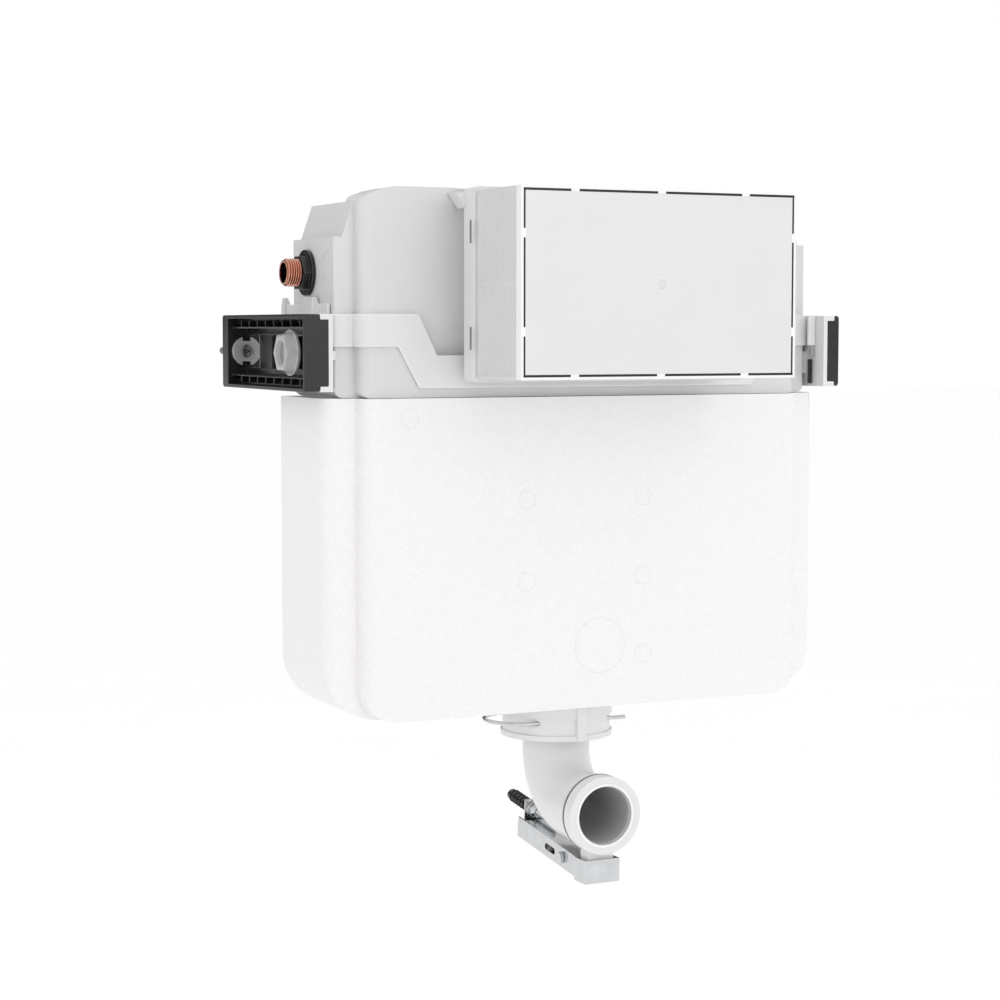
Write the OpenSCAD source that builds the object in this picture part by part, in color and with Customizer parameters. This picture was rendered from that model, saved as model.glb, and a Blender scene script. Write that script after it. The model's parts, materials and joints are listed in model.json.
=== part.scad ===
// Concealed toilet cistern for building into a stud wall.
// The wall plane is y = 0, the front of the cistern faces -Y and +Z is up.
// The origin lies midway between the two wall brackets, at their height.

/* [Tank] */
// Width of the tank's wide rear part
tank_w = 406; // [396:1:416]
// How far the rear part stands out on each side of the front part
front_step = 16; // [12:0.5:20]
// Depth from the front face to the back face
tank_depth = 100; // [98:1:110]
// Depth of the wide rear part
tank_rear_depth = 85; // [80:1:88]
// Height of the tank top above the bracket line
tank_rise = 121.5; // [119:0.5:130]
// Depth of the tank bottom below the bracket line
tank_drop = 260; // [250:1:280]
// Wall thickness of the moulded tank
tank_wall = 3.5; // [3:0.1:4]
// Radius of the front part's upright corners
tank_corner = 9; // [6:0.5:10]
// Distance from the wall plane to the back of the tank, brackets run out
wall_gap = 88; // [60:1:92]
// Depth of the recess beside the shaft's frame
recess_depth = 6; // [3:0.5:7]

/* [Foam jacket] */
// How far the jacket stands out on each side of the tank
foam_over = 10; // [9:0.5:14]
// Thickness of the foam wall
foam_wall = 13; // [10:0.5:14]
// Depth of the jacket's top edge below the bracket line
foam_top_drop = 33.5; // [32:0.5:45]
// Radius of the rear part's bottom corners
foam_bottom_r = 45; // [20:1:50]

/* [Service shaft] */
// Width of the cover plate
cover_w = 226; // [220:1:232]
// Height of the cover plate
cover_h = 136; // [130:1:140]
// Distance of the cover's front face from the tank's front face
shaft_reach = 112; // [90:1:130]
// Spacing of the cutting ridges
ridge_pitch = 5; // [4.5:0.1:5.5]

/* [Wall brackets] */
// Height of a bracket
bracket_h = 56.6; // [54:0.2:60]
// Length of a bracket from wall to front end
bracket_l = 183; // [175:1:190]
// Width of a bracket's open outer part
bracket_w = 12.5; // [10:0.5:16]
// Width of a bracket's inner part, between the guide's lips
bracket_step_w = 6.5; // [5:0.5:9]
// Distance of the guide's outer face from the tank's side
guide_stand = 8; // [7:0.5:11]
// Length of the fixed guide
guide_l = 105; // [90:1:106]
// Diameter of the wall screws
wall_screw_d = 6; // [5:0.5:7]
// Length of a wall screw behind the wall plane
wall_screw_out = 46; // [30:1:60]

/* [Water inlet] */
// Outside diameter of the half-inch pipe thread
inlet_d = 20.955; // [20.5:0.005:21.5]
// Bore of the inlet nipple
inlet_bore_d = 15; // [12:0.5:16]
// Height of the inlet above the bracket line
inlet_z = 59.5; // [57:0.5:62]
// Distance of the inlet's axis from the tank's back
inlet_in = 32; // [30:0.5:40]
// How far the nipple stands out of the tank's side
inlet_reach = 19.9; // [18:0.1:32]

/* [Flush outlet] */
// Distance of the flush valve's axis from the tank's back
outlet_in = 45; // [43:0.5:48]
// Bore of the outlet socket, for a 45 mm flush pipe
socket_bore_d = 45.2; // [44.8:0.1:46]
// Outside diameter of the flush bend's pipe
bend_d = 53; // [52:0.5:53.5]
// Outside diameter of the socket's rim
socket_rim_d = 60.3; // [58:0.1:63]
// Depth of the outlet axis below the jacket
outlet_drop = 80.1; // [76:0.1:95]
// Distance of the outlet face from the flush valve's axis
outlet_reach = 84; // [78:1:100]
// Outside diameter of the collar under the tank
collar_d = 88.5; // [86:0.5:89]

/* [Flush valve] */
// Lift of the tube on a full flush
full_lift = 12; // [8:0.5:13]
// Lift of the sleeve on a half flush
half_lift = 8; // [5:0.5:9]

/* [Fill valve] */
// Distance of the fill valve's axis from the middle of the tank
fill_x = 80; // [76:1:84]
// Rise of the float
float_rise = 12; // [8:0.5:12]

/* [Hidden] */

fine = 96;
round_fn = 48;

// Clearances and the overrun of a cut
gap = 0.3;
fit_gap = 0.05;
cut_over = 1;

// Tank planes
tank_back_y = -wall_gap;
tank_front_y = tank_back_y - tank_depth;
tank_ledge_y = tank_back_y - tank_rear_depth;
tank_top_z = tank_rise;
tank_floor_z = -tank_drop;
tank_front_w = tank_w - 2 * front_step;
side_x = tank_w / 2;

// Rear part: a boss on each side up to a ledge, then a slope to a lower top
rear_corner = 1.5;
boss_drop = 36.7;
boss_ledge = 6.4;
slope_run = 9.2;
rear_top_drop = 10.5;
boss_top_z = tank_top_z - boss_drop;
slope_low_x = side_x - boss_ledge;
slope_top_x = slope_low_x - slope_run;
rear_top_z = tank_top_z - rear_top_drop;
blank_r = 10;
blank_depth = 0.8;
blank_y = 12;
blank_z = 65;

// Front part: raised at the front, with crowned top corners (shares of run and drop)
raised_depth = 38;
raised_back_y = tank_front_y + raised_depth;
crown_run = 27;
crown_drop = 9.5;
crown_shares = [[0, 1], [0.2, 0.63], [0.6, 0.21], [1, 0]];

// Recess round the shaft's frame
recess_top_in = 9.5;
recess_fade = 14;
recess_beside = 1;
recess_ramp = 36;
recess_top_z = tank_top_z - recess_top_in;
recess_in_x = cover_w / 2 - recess_beside;
recess_out_x = recess_in_x + recess_ramp;

// Foam planes: the lower tank is set in by the foam's thickness
foam_w = tank_w + 2 * foam_over;
foam_top_z = -foam_top_drop;
foam_floor_z = tank_floor_z - foam_wall - gap;
foam_proud = 5;
foam_ease = 3;
foam_front_y = tank_front_y - foam_proud;
foam_back_y = tank_back_y + foam_ease;
foam_ledge_y = tank_ledge_y - foam_ease;
foam_corner = 12;
foam_back_corner = 2;
foam_front_bottom_r = 25;
lower_w = foam_w - 2 * foam_wall - 2 * gap;
lower_front_w = tank_front_w - 2 * foam_wall - 2 * gap;
lower_front_y = foam_front_y + foam_wall + gap;
lower_back_y = foam_back_y - foam_wall - gap;
lower_ledge_y = foam_ledge_y + foam_wall + gap;
shoulder_r = 7;

// Strap: a folded band whose middle runs lower, under the service shaft
strap_t = 3;
strap_h = 24;
strap_high = 4.5;
strap_step = 30.5;
strap_low = strap_high - strap_step;
strap_run_in = 27.5;
strap_run_x = tank_front_w / 2 - strap_run_in;
strap_fall = 17;
strap_top_in = 16;
strap_low_in = 31;
strap_wrap = 6;

// Service opening and shaft
shaft_drop = 3.8;
shaft_z = tank_top_z - cover_h / 2 - shaft_drop;
shaft_wall = 2.5;
frame_side_in = 2;
frame_over_h = 3;
frame_w = cover_w - 2 * frame_side_in;
frame_h = cover_h + 2 * frame_over_h;
frame_y = tank_front_y + recess_depth - gap;
frame_out = 37.3;
frame_depth = frame_out + recess_depth - gap;
frame_lip = 7;
frame_t = 6;
frame_r = 3.5;
neck_in = 11;
neck_top_in = 5;
neck_t = 4;
neck_out = 12.3;
neck_w = frame_w - 2 * neck_in;
neck_low_z = strap_low + strap_h + 2 * gap;
neck_high_z = shaft_z + frame_h / 2 - neck_top_in;
neck_h = neck_high_z - neck_low_z;
neck_z = (neck_high_z + neck_low_z) / 2;
neck_depth = neck_out + recess_depth - gap;
opening_w = neck_w - 2 * neck_t;
opening_h = neck_h - 2 * neck_t;
gusset_out = 8.5;
gusset_root = 3;
gusset_h = 11;
gusset_top_in = 3.2;
gusset_l = 15;
slit_w = 1.2;
slit_h = 16.5;
slit_in = 2.4;
slit_lip = 5.8;
slit_share = 0.54;
cover_t = 8;
cover_front_y = tank_front_y - shaft_reach;
cover_back_y = cover_front_y + cover_t;
shaft_back_y = frame_y - frame_depth - gap;
shaft_front_y = cover_back_y + gap;
shaft_l = shaft_back_y - shaft_front_y;
ridge_plain = 6;
ridge_count = floor((shaft_l - ridge_plain) / ridge_pitch);
ridge_depth = 1.3;
slot_w = 1.2;
slot_inset = 2.2;
slot_bridge = 4.5;
slot_depth = 3;
bridge_shares = [-0.62, 0, 0.62];
side_bridge_shares = [-0.51, 0.51];
knob_d = 8;
knob_depth = 1.5;
skirt_t = 2;
skirt_depth = 9;

// Bracket planes, worked out for the right-hand side
guide_web_x = side_x + guide_stand;
bracket_in_x = guide_web_x + gap;
bracket_step_x = bracket_in_x + bracket_step_w;
bracket_out = bracket_step_x + bracket_w;
bracket_wall = 2.6;
bracket_step_h = 48;
bracket_corner = 3;
slot_r = 12.7;
slot_front = 16;
slot_rim_t = 2;
slot_rim_h = 1.5;
rib_t = 1.2;
rib_z = 18.6;
rib_low = 3;
rib_count = 8;
end_block = 13;
end_x = side_x + 2 * gap;

// Guide, its pads against the tank, its rail and its two hooks
guide_setback = 5;
guide_front_y = tank_front_y + guide_setback;
guide_web_t = 3.4;
guide_lip_z = bracket_step_h / 2 + gap;
guide_offset = 23;
pad_w = 10;
pad_h = 18;
pad_count = 3;
pad_in = 8;
pad_pitch = 23;
rail_in = 6.3;
rail_t = 2;
rail_root = 6.3;
rail_rise = 7.7;
hook_in = 29;
hook_l = 24;
hook_rear_l = 5;
hook_t = 3.6;
hook_set = 1.8;
hook_rise = 12.9;
hook_lean = 1;
hook_lean_h = 8;
barb_high = 3.8;
barb_low = 5.5;
barb_foot = 6.5;

// Clamp nut, bush, wall screw and washer
clamp_in = 49.5;
clamp_y = wall_gap + clamp_in;
bush_r = slot_r - gap;
nut_flange_r = 17.5;
nut_flange_t = 3;
nut_hex_r = 15.5;
nut_tip_r = 13.2;
nut_recess_r = 8.5;
nut_recess_depth = 8;
nut_out = 1.7;
nut_x = bracket_in_x + bracket_wall + slot_rim_h + gap;
nut_end_x = bracket_out + nut_out;
stud_r = 4.5;
stud_l = 6;
screw_in = 12;
screw_x = end_x + screw_in;
washer_r = 11.5;
washer_t = 3;
washer_notch = 7;
screw_r = wall_screw_d / 2;
screw_shank_more = 0.2;
screw_shank_r = screw_r + screw_shank_more;
screw_seat_r = 6;
screw_seat_depth = 1;
screw_gap = 0.2;
screw_head_r = 6;
screw_head_t = 4;
screw_point = 8;
cross_w = 1.6;
cross_l = 8;
cross_depth = 1.5;

// Inlet
inlet_y = wall_gap + inlet_in;
inlet_thread_depth = 1.162;
nipple_r = inlet_d / 2 - inlet_thread_depth;
nipple_in = 30;
inlet_flange_r = 17.2;
inlet_flange_t = 2.7;
inlet_hex_r = 14.1;
inlet_hex_t = 7.9;
seal_t = 3;
seal_in = 1;

// Stop valve, handle and hose
valve_flange_r = 18;
valve_flange_t = 6;
valve_r = 14;
valve_l = 50;
valve_x = side_x - tank_wall - seal_t - 2 * gap;
branch_r = 9;
branch_drop = 14;
hose_r = 6;
hose_wall = 2;
hose_in = 43;
hose_x = side_x - hose_in;
hose_turn_r = (hose_x - fill_x) / 2;
hose_low_z = -60;
hose_nut_r = 12;
hose_nut_h = 14;
handle_r = 13;
handle_t = 15;
handle_flute_r = 3;
handle_flutes = 8;
spindle_r = 4;

// Outlet collar, clip and bend
collar_r = collar_d / 2;
collar_bore_r = 36.6;
collar_roof_t = 5;
collar_top_z = tank_floor_z - gap;
collar_drop = 29;
collar_bottom_z = foam_floor_z - collar_drop;
collar_rim = 1.6;
collar_rim_h = 4;
rib_w = 8;
rib_out = 1.2;
bend_r = bend_d / 2;
bend_wall = 3;
bend_flange_r = collar_bore_r - gap;
bend_flange_t = 6;
bend_flange_rise = 15.5;
bend_flange_z = collar_bottom_z + bend_flange_rise;
bend_turn_r = 40;
clip_wire_r = 1.6;
clip_gap = 0.9;
clip_half = bend_r + clip_wire_r + clip_gap;
clip_out = 60;
clip_end_x = 46;
clip_z = bend_flange_z - clip_wire_r - gap;
valve_y = tank_back_y - outlet_in;
outlet_face = outlet_reach - valve_y;
outlet_z = foam_floor_z - outlet_drop;
socket_l = 25;
rim_l = 11;
rim_step = 1.8;
seam_w = 1.2;
socket_r = socket_rim_d / 2 - rim_step;
lip_r = socket_bore_d / 2;
lip_l = 6;
lip_t = 2.4;
lip_seat_r = lip_r + lip_t;

// Steel bracket under the bend
steel_t = 1.5;
arm_w = 28;
arm_h = 16;
arm_back = 93;
arm_tilt = 6.6;
box_w = 30;
box_d = 18;
box_h = 18;
box_in = 5;
box_under = 8.5;
box_front = outlet_face - box_in;
box_back = box_front - box_d;
box_top_z = outlet_z - bend_r - box_under;
arm_l = box_back - arm_back;
foot_w = 22;
foot_d = 12;
foot_bottom_z = box_top_z - box_h + steel_t + gap;
lug_w = 18;
lug_h = 14;
lug_hole_r = 3.4;
arm_slot_l = 12;
arm_slot_r = 2.6;
arm_slot_y = 43;
clamp_screw_y = 22;
clamp_screw_r = 2.5;
clamp_head_r = 4.5;
clamp_head_t = 3;
stud_z = 5;
stud_front = 38;
stud_nut_r = 7;
stud_nut_t = 7;
stud_washer_r = 8;
plug_r = 4.5;
plug_l = 41;
plug_fin_r = 5.5;
plug_rim_r = 6.5;
plug_fins = 6;
plug_fin_t = 2;

// Flush valve
basket_flange_r = 30;
spigot_r = 26.7;
spigot_bore_r = 21;
drain_r = spigot_r + gap;
seat_h = 7;
cage_t = 2.4;
cage_h = 100;
cage_windows = 8;
cage_head_h = 9.6;
window_w = 12;
floor_in_z = tank_floor_z + tank_wall;
seat_z = floor_in_z + seat_h;
cage_top_z = floor_in_z + cage_h;
tube_r = 13;
tube_wall = 2;
sleeve_wall = 2;
sleeve_r = tube_r + gap + sleeve_wall;
guide_bore_r = sleeve_r + gap;
guide_tube_t = 2.7;
guide_tube_r = guide_bore_r + guide_tube_t;
guide_top_z = 0;
guide_flange_r = 24;
guide_flange_t = 3;
disc_r = 24;
disc_t = 3;
rubber_r = 25;
rubber_t = 3;
float_ring_r = 26;
float_ring_h = 35;
float_ring_rise = 35;
float_ring_z = seat_z + float_ring_rise;
collar_ring_r = 22;
collar_ring_t = 3;
sleeve_out = 8;
rocker_room = 15;
sleeve_collar_z = guide_top_z + sleeve_out;
tube_collar_z = sleeve_collar_z + collar_ring_t + half_lift + rocker_room;
tube_top_z = tube_collar_z + full_lift;

// Rockers and their bridge
rocker_l = 39;
rocker_y = rocker_l - valve_y;
nose_r = 2;
half_pivot_z = sleeve_collar_z - gap - nose_r;
full_pivot_z = tube_collar_z - gap - nose_r;
prong_t = 3.4;
half_prong_gap = 0.5;
full_prong_gap = 0.6;
half_prong_x = sleeve_r + half_prong_gap;
full_prong_x = tube_r + full_prong_gap;
hub_r = 4;
hub_w = 50;
pin_r = 2;
ear_t = 3;
ear_gap = 2;
ear_x = hub_w / 2 + ear_gap;
ear_w = 12;
bridge_t = 2.5;
bridge_back = 18;
bridge_notch = 7;
push_w = 10;
push_t = 4;
push_x = 19;
full_push = 17;
half_push = 16;

// Fill valve
shank_r = 8;
shank_wall = 3;
shank_bottom_z = -45;
head_z = 62;
head_h = 20;
head_r = 20;
cap_r = 21.5;
cap_h = 8;
cup_r = 26;
cup_wall = 2;
cup_bottom_z = -20;
cup_h = 55;
rod_r = 2;
lever_l = 44;
lever_t = 3;
lever_h = 8;
lever_in = 14;
lever_up = 10;
lever_x = fill_x - lever_in;
lever_y = inlet_y + head_r + 2 * gap;
lever_z = head_z + lever_up;
rod_x = lever_x + lever_l;
holder_room = 4;
holder_z = cup_bottom_z + cup_h + float_rise + holder_room;
holder_h = 7;
holder_w = 20;
holder_ring_t = 4;
holder_foot_t = 3;

// Rounded rectangle, centred
module round_rect(w, d, r) {
    square([w - 2 * r, d], center = true);
    square([w, d - 2 * r], center = true);
    for (x = [-1, 1], y = [-1, 1])
        translate([x * (w / 2 - r), y * (d / 2 - r)]) circle(r, $fn = round_fn);
}

// Upright rounded block between two depths and two heights
module block(w, front, back, low, high, r) {
    translate([0, (front + back) / 2, low])
        linear_extrude(high - low) round_rect(w, back - front, r);
}

// Cylinder along +Y from its start
module rod_y(r, l) {
    rotate([-90, 0, 0]) cylinder(r = r, h = l, $fn = fine);
}

// Cylinder along +X from its start
module rod_x(r, l) {
    rotate([0, 90, 0]) cylinder(r = r, h = l, $fn = fine);
}

// Upright tube
module pipe(r_out, r_in, h) {
    difference() {
        cylinder(r = r_out, h = h, $fn = fine);
        translate([0, 0, -cut_over]) cylinder(r = r_in, h = h + 2 * cut_over, $fn = fine);
    }
}

// A piece drawn for the right-hand side, set on either side
module on_side(side) {
    if (side > 0) children();
    else mirror([1, 0, 0]) children();
}

// Upright outline, centred in x, with two rounded bottom corners
module cup_outline(w, low, high, r) {
    translate([-w / 2, low + r]) square([w, high - low - r]);
    translate([-w / 2 + r, low]) square([w - 2 * r, r]);
    for (side = [-1, 1]) translate([side * (w / 2 - r), low + r]) circle(r, $fn = fine);
}

// An upright outline drawn out in depth, cut to a rounded plan
module bodied(w, front, back, r, low, high, bottom_r) {
    intersection() {
        block(w, front, back, low, high, r);
        translate([0, back + cut_over, 0]) rotate([90, 0, 0])
            linear_extrude(back - front + 2 * cut_over) cup_outline(w, low, high, bottom_r);
    }
}

// Points of a right-hand outline with their mirror images, running on round
function both_sides(points) = concat(points,
    [for (i = [len(points) - 1 : -1 : 0]) [-points[i][0], points[i][1]]]);

// Outline of the front part: straight sides and crowned corners, set in by a wall
module tank_front_outline(inset) {
    half_w = tank_front_w / 2 - inset;
    crown = [for (share = crown_shares)
        [half_w - share[0] * crown_run, tank_top_z - inset - share[1] * crown_drop]];
    polygon(both_sides(concat([[half_w, tank_floor_z]], crown)));
}

// Outline of the rear part: its side bosses with their ledges, the slopes and the lower top
module tank_rear_outline(inset) {
    polygon(both_sides([
        [side_x - inset, tank_floor_z], [side_x - inset, boss_top_z - inset],
        [slope_low_x - inset, boss_top_z - inset], [slope_top_x - inset, rear_top_z - inset]]));
}

// Upper block of a tank part, over the foam's edge; its outline is the child
module tank_upper(w, front, back, corner, inset) {
    intersection() {
        bodied(w - 2 * inset, front + inset, back - inset, corner,
            foam_top_z + gap + inset, tank_top_z, shoulder_r - inset / 2);
        translate([0, tank_back_y + cut_over, 0]) rotate([90, 0, 0])
            linear_extrude(tank_depth + 2 * cut_over) children();
    }
}

// Lower block of a tank part, inside the foam
module tank_lower(w, front, bottom_r, inset) {
    bodied(w - 2 * inset, front + inset, lower_back_y - inset, tank_corner - inset / 2,
        tank_floor_z + inset, foam_top_z + gap + 2 * inset + shoulder_r, bottom_r - inset);
}

// Recess for the shaft's frame: open at the top behind the frame, and beside it a floor
// that rises outwards and fades out towards the top
module front_recess(inset) {
    start_y = tank_front_y - cut_over;
    edge_y = tank_front_y + inset;
    floor_y = edge_y + recess_depth;
    low_z = strap_low + strap_h / 2 - inset;
    in_x = recess_in_x + inset;
    out_x = recess_out_x + inset;
    translate([-in_x, start_y, low_z]) cube([2 * in_x, floor_y - start_y, tank_top_z + cut_over - low_z]);
    intersection() {
        translate([0, 0, low_z]) linear_extrude(recess_top_z + inset - low_z) polygon(both_sides([
            [out_x, start_y], [out_x, edge_y], [in_x, floor_y]]));
        translate([-out_x, 0, 0]) rotate([90, 0, 90]) linear_extrude(2 * out_x) polygon([
            [start_y, low_z], [floor_y, low_z], [floor_y, recess_top_z - recess_fade + inset],
            [edge_y, recess_top_z + inset], [start_y, recess_top_z + inset]]);
    }
}

// Solid form of the tank, set in by a wall
module tank_form(inset) {
    difference() {
        union() {
            tank_upper(tank_front_w, tank_front_y, raised_back_y, tank_corner, inset)
                tank_front_outline(inset);
            tank_upper(tank_w, tank_ledge_y, tank_back_y, rear_corner, inset)
                tank_rear_outline(inset);
            tank_lower(lower_front_w, lower_front_y, foam_front_bottom_r - foam_wall + gap, inset);
            tank_lower(lower_w, lower_ledge_y, foam_bottom_r - foam_wall + gap, inset);
        }
        front_recess(inset);
    }
}

module tank_shell() {
    color("Gainsboro") difference() {
        tank_form(0);
        tank_form(tank_wall);
        translate([-opening_w / 2, tank_front_y - cut_over, neck_z - opening_h / 2])
            cube([opening_w, recess_depth + tank_wall + 2 * cut_over, opening_h]);
        translate([-side_x - cut_over, -inlet_y, inlet_z])
            rod_x(nipple_r + gap, tank_wall + 2 * cut_over);
        translate([0, valve_y, tank_floor_z - cut_over])
            cylinder(r = drain_r, h = tank_wall + 2 * cut_over, $fn = fine);
        for (side = [-1, 1]) on_side(side)
            translate([side_x - blank_depth, tank_ledge_y + blank_y, blank_z])
                rod_x(blank_r, blank_depth + cut_over);
    }
}

module foam_jacket() {
    color("White") difference() {
        union() {
            bodied(tank_front_w, foam_front_y, foam_back_y, foam_corner,
                foam_floor_z, foam_top_z, foam_front_bottom_r);
            bodied(foam_w, foam_ledge_y, foam_back_y, foam_corner,
                foam_floor_z, foam_top_z, foam_bottom_r);
            bodied(foam_w, foam_ledge_y + foam_corner, foam_back_y, foam_back_corner,
                foam_floor_z, foam_top_z, foam_bottom_r);
        }
        bodied(lower_front_w + 2 * gap, lower_front_y - gap, lower_back_y + gap, tank_corner + gap,
            foam_floor_z + foam_wall, foam_top_z + cut_over, foam_front_bottom_r - foam_wall + gap);
        bodied(lower_w + 2 * gap, lower_ledge_y - gap, lower_back_y + gap, tank_corner + gap,
            foam_floor_z + foam_wall, foam_top_z + cut_over, foam_bottom_r - foam_wall + gap);
        translate([0, valve_y, foam_floor_z - cut_over])
            cylinder(r = collar_r + gap, h = foam_wall + 2 * cut_over, $fn = fine);
    }
}

// Plan of the band that follows the stepped tank front
module strap_plan(grow) {
    translate([0, (tank_front_y + tank_back_y) / 2])
        round_rect(tank_front_w + 2 * grow, tank_depth + 2 * grow, tank_corner + grow);
    translate([0, (tank_ledge_y + tank_back_y) / 2])
        round_rect(tank_w + 2 * grow, tank_rear_depth + 2 * grow, rear_corner + grow);
}

module tank_strap() {
    color("WhiteSmoke") intersection() {
        translate([0, tank_ledge_y + strap_wrap, 0]) rotate([90, 0, 0])
            linear_extrude(tank_depth) polygon(both_sides([
                [strap_run_x - strap_fall, strap_low], [strap_run_x, strap_high],
                [bracket_out, strap_high], [bracket_out, strap_high + strap_h],
                [strap_run_x - strap_top_in, strap_high + strap_h],
                [strap_run_x - strap_low_in, strap_low + strap_h]]));
        translate([0, 0, strap_low]) linear_extrude(strap_step + strap_h) difference() {
            strap_plan(strap_t + gap);
            strap_plan(gap);
        }
    }
}

// Guide: a channel whose lips hold the bracket's narrow part; both sides have the same
// moulding, turned half round, so the right-hand one sits further forward
module guide(side) {
    front = guide_front_y - (side > 0 ? guide_offset : 0);
    back = front + guide_l;
    color("WhiteSmoke") on_side(side) {
        translate([guide_web_x - guide_web_t, front, -bracket_h / 2])
            cube([guide_web_t, guide_l, bracket_h]);
        for (low = [-bracket_h / 2, guide_lip_z])
            translate([guide_web_x - cut_over, front, low])
                cube([bracket_step_x - gap - guide_web_x + cut_over, guide_l, bracket_h / 2 - guide_lip_z]);
        for (i = [0 : pad_count - 1])
            translate([side_x + gap, tank_ledge_y + pad_in + i * pad_pitch - pad_w / 2, -pad_h])
                cube([guide_web_x - side_x - gap - guide_web_t / 2, pad_w, pad_h]);
        translate([0, back, 0]) rotate([90, 0, 0])
            linear_extrude(back - tank_ledge_y - rail_in) rail_outline();
        translate([0, tank_ledge_y + hook_in + hook_l, 0]) rotate([90, 0, 0])
            linear_extrude(hook_l) hook_outline();
        translate([0, back, 0]) rotate([90, 0, 0]) linear_extrude(hook_rear_l) hook_outline();
    }
}

// Rail along the guide's top, close to the tank: width by height
module rail_outline() {
    web_x = guide_web_x - guide_web_t;
    root_z = bracket_h / 2 - rail_root;
    polygon([[end_x, root_z], [web_x + gap, root_z], [web_x + gap, bracket_h / 2],
        [end_x + rail_t, bracket_h / 2], [end_x + rail_t, bracket_h / 2 + rail_rise],
        [end_x, bracket_h / 2 + rail_rise]]);
}

// Hook that holds the guide on the tank: a leaning post with a barb inwards
module hook_outline() {
    out_x = guide_web_x - hook_set;
    root_z = bracket_h / 2 - rail_root;
    top_z = bracket_h / 2 + hook_rise;
    polygon([[out_x - hook_t, root_z], [out_x, root_z], [out_x, top_z - hook_lean_h],
        [out_x - hook_lean, top_z], [out_x - hook_t, top_z], [end_x, top_z - barb_high],
        [end_x, top_z - barb_low], [out_x - hook_t, top_z - barb_foot]]);
}

module guide_left() { guide(-1); }

module guide_right() { guide(1); }

// Bracket: a box open outwards, with a slot in its floor and a block at its wall end
module bracket(side) {
    floor_x = bracket_in_x + bracket_wall;
    inner_l = bracket_l - bracket_wall - end_block;
    inner_y = -bracket_l + bracket_wall + inner_l / 2;
    slot_l = bracket_l - slot_front - end_block;
    rib_x = floor_x - cut_over;
    rib_reach = bracket_out - rib_low - floor_x;
    color("DimGray") on_side(side) difference() {
        union() {
            difference() {
                union() {
                    translate([bracket_step_x, -bracket_l / 2, 0]) rotate([90, 0, 90])
                        linear_extrude(bracket_out - bracket_step_x)
                            round_rect(bracket_l, bracket_h, bracket_corner);
                    translate([bracket_in_x, -bracket_l, -bracket_step_h / 2])
                        cube([bracket_step_x - bracket_in_x + cut_over, bracket_l, bracket_step_h]);
                }
                translate([bracket_step_x + bracket_wall, inner_y, 0]) rotate([90, 0, 90])
                    linear_extrude(bracket_out)
                        square([inner_l, bracket_h - 2 * bracket_wall], center = true);
                translate([floor_x, inner_y, 0]) rotate([90, 0, 90])
                    linear_extrude(bracket_out)
                        square([inner_l, bracket_step_h - 2 * bracket_wall], center = true);
            }
            translate([end_x, -end_block, -bracket_step_h / 2])
                cube([bracket_step_x - end_x, end_block, bracket_step_h]);
            translate([floor_x - cut_over, -bracket_l + slot_front - slot_rim_t, -slot_r - slot_rim_t])
                cube([slot_rim_h + cut_over, slot_l + slot_rim_t + cut_over, 2 * (slot_r + slot_rim_t)]);
            for (up = [-1, 1]) {
                translate([rib_x, -bracket_l + cut_over, up * rib_z - rib_t / 2])
                    cube([rib_reach, bracket_l - end_block, rib_t]);
                for (i = [1 : rib_count])
                    translate([rib_x, -bracket_l + i * inner_l / (rib_count + 1),
                        up > 0 ? rib_z : -bracket_step_h / 2])
                        cube([rib_reach, rib_t, bracket_step_h / 2 - rib_z]);
            }
        }
        translate([bracket_in_x - cut_over, -bracket_l + slot_front + slot_r, -slot_r])
            cube([bracket_wall + slot_rim_h + 2 * cut_over, slot_l - slot_r, 2 * slot_r]);
        translate([bracket_in_x - cut_over, -bracket_l + slot_front + slot_r, 0])
            rod_x(slot_r, bracket_wall + slot_rim_h + 2 * cut_over);
        translate([screw_x, -end_block - cut_over, 0])
            rod_y(screw_shank_r + screw_gap, end_block + 2 * cut_over);
        translate([screw_x, -screw_seat_depth, 0]) rod_y(screw_seat_r, screw_seat_depth + cut_over);
    }
}

module bracket_left() { bracket(-1); }

module bracket_right() { bracket(1); }

// Bush with its stud, fixed on the guide and standing through the bracket's slot
module clamp_bush(side) {
    color("DimGray") on_side(side) translate([guide_web_x, -clamp_y, 0]) {
        rod_x(bush_r, nut_x - gap - guide_web_x);
        rod_x(stud_r, nut_x - guide_web_x + stud_l);
    }
}

module clamp_bush_left() { clamp_bush(-1); }

module clamp_bush_right() { clamp_bush(1); }

// Flanged clamp nut with a chamfered hexagon and a round recess
module clamp_nut(side) {
    hex_l = nut_end_x - nut_x - nut_flange_t;
    color("Gainsboro") on_side(side) translate([nut_x, -clamp_y, 0]) rotate([0, 90, 0])
        difference() {
            union() {
                cylinder(r = nut_flange_r, h = nut_flange_t, $fn = fine);
                translate([0, 0, nut_flange_t - cut_over]) intersection() {
                    cylinder(r = nut_hex_r, h = hex_l + cut_over, $fn = 6);
                    cylinder(r1 = nut_hex_r + cut_over, r2 = nut_tip_r, h = hex_l + cut_over, $fn = fine);
                }
            }
            translate([0, 0, -cut_over])
                cylinder(r = stud_r + fit_gap, h = nut_flange_t + hex_l + 2 * cut_over, $fn = fine);
            translate([0, 0, nut_flange_t + hex_l - nut_recess_depth])
                cylinder(r = nut_recess_r, h = nut_recess_depth + cut_over, $fn = fine);
        }
}

module clamp_nut_left() { clamp_nut(-1); }

module clamp_nut_right() { clamp_nut(1); }

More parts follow.
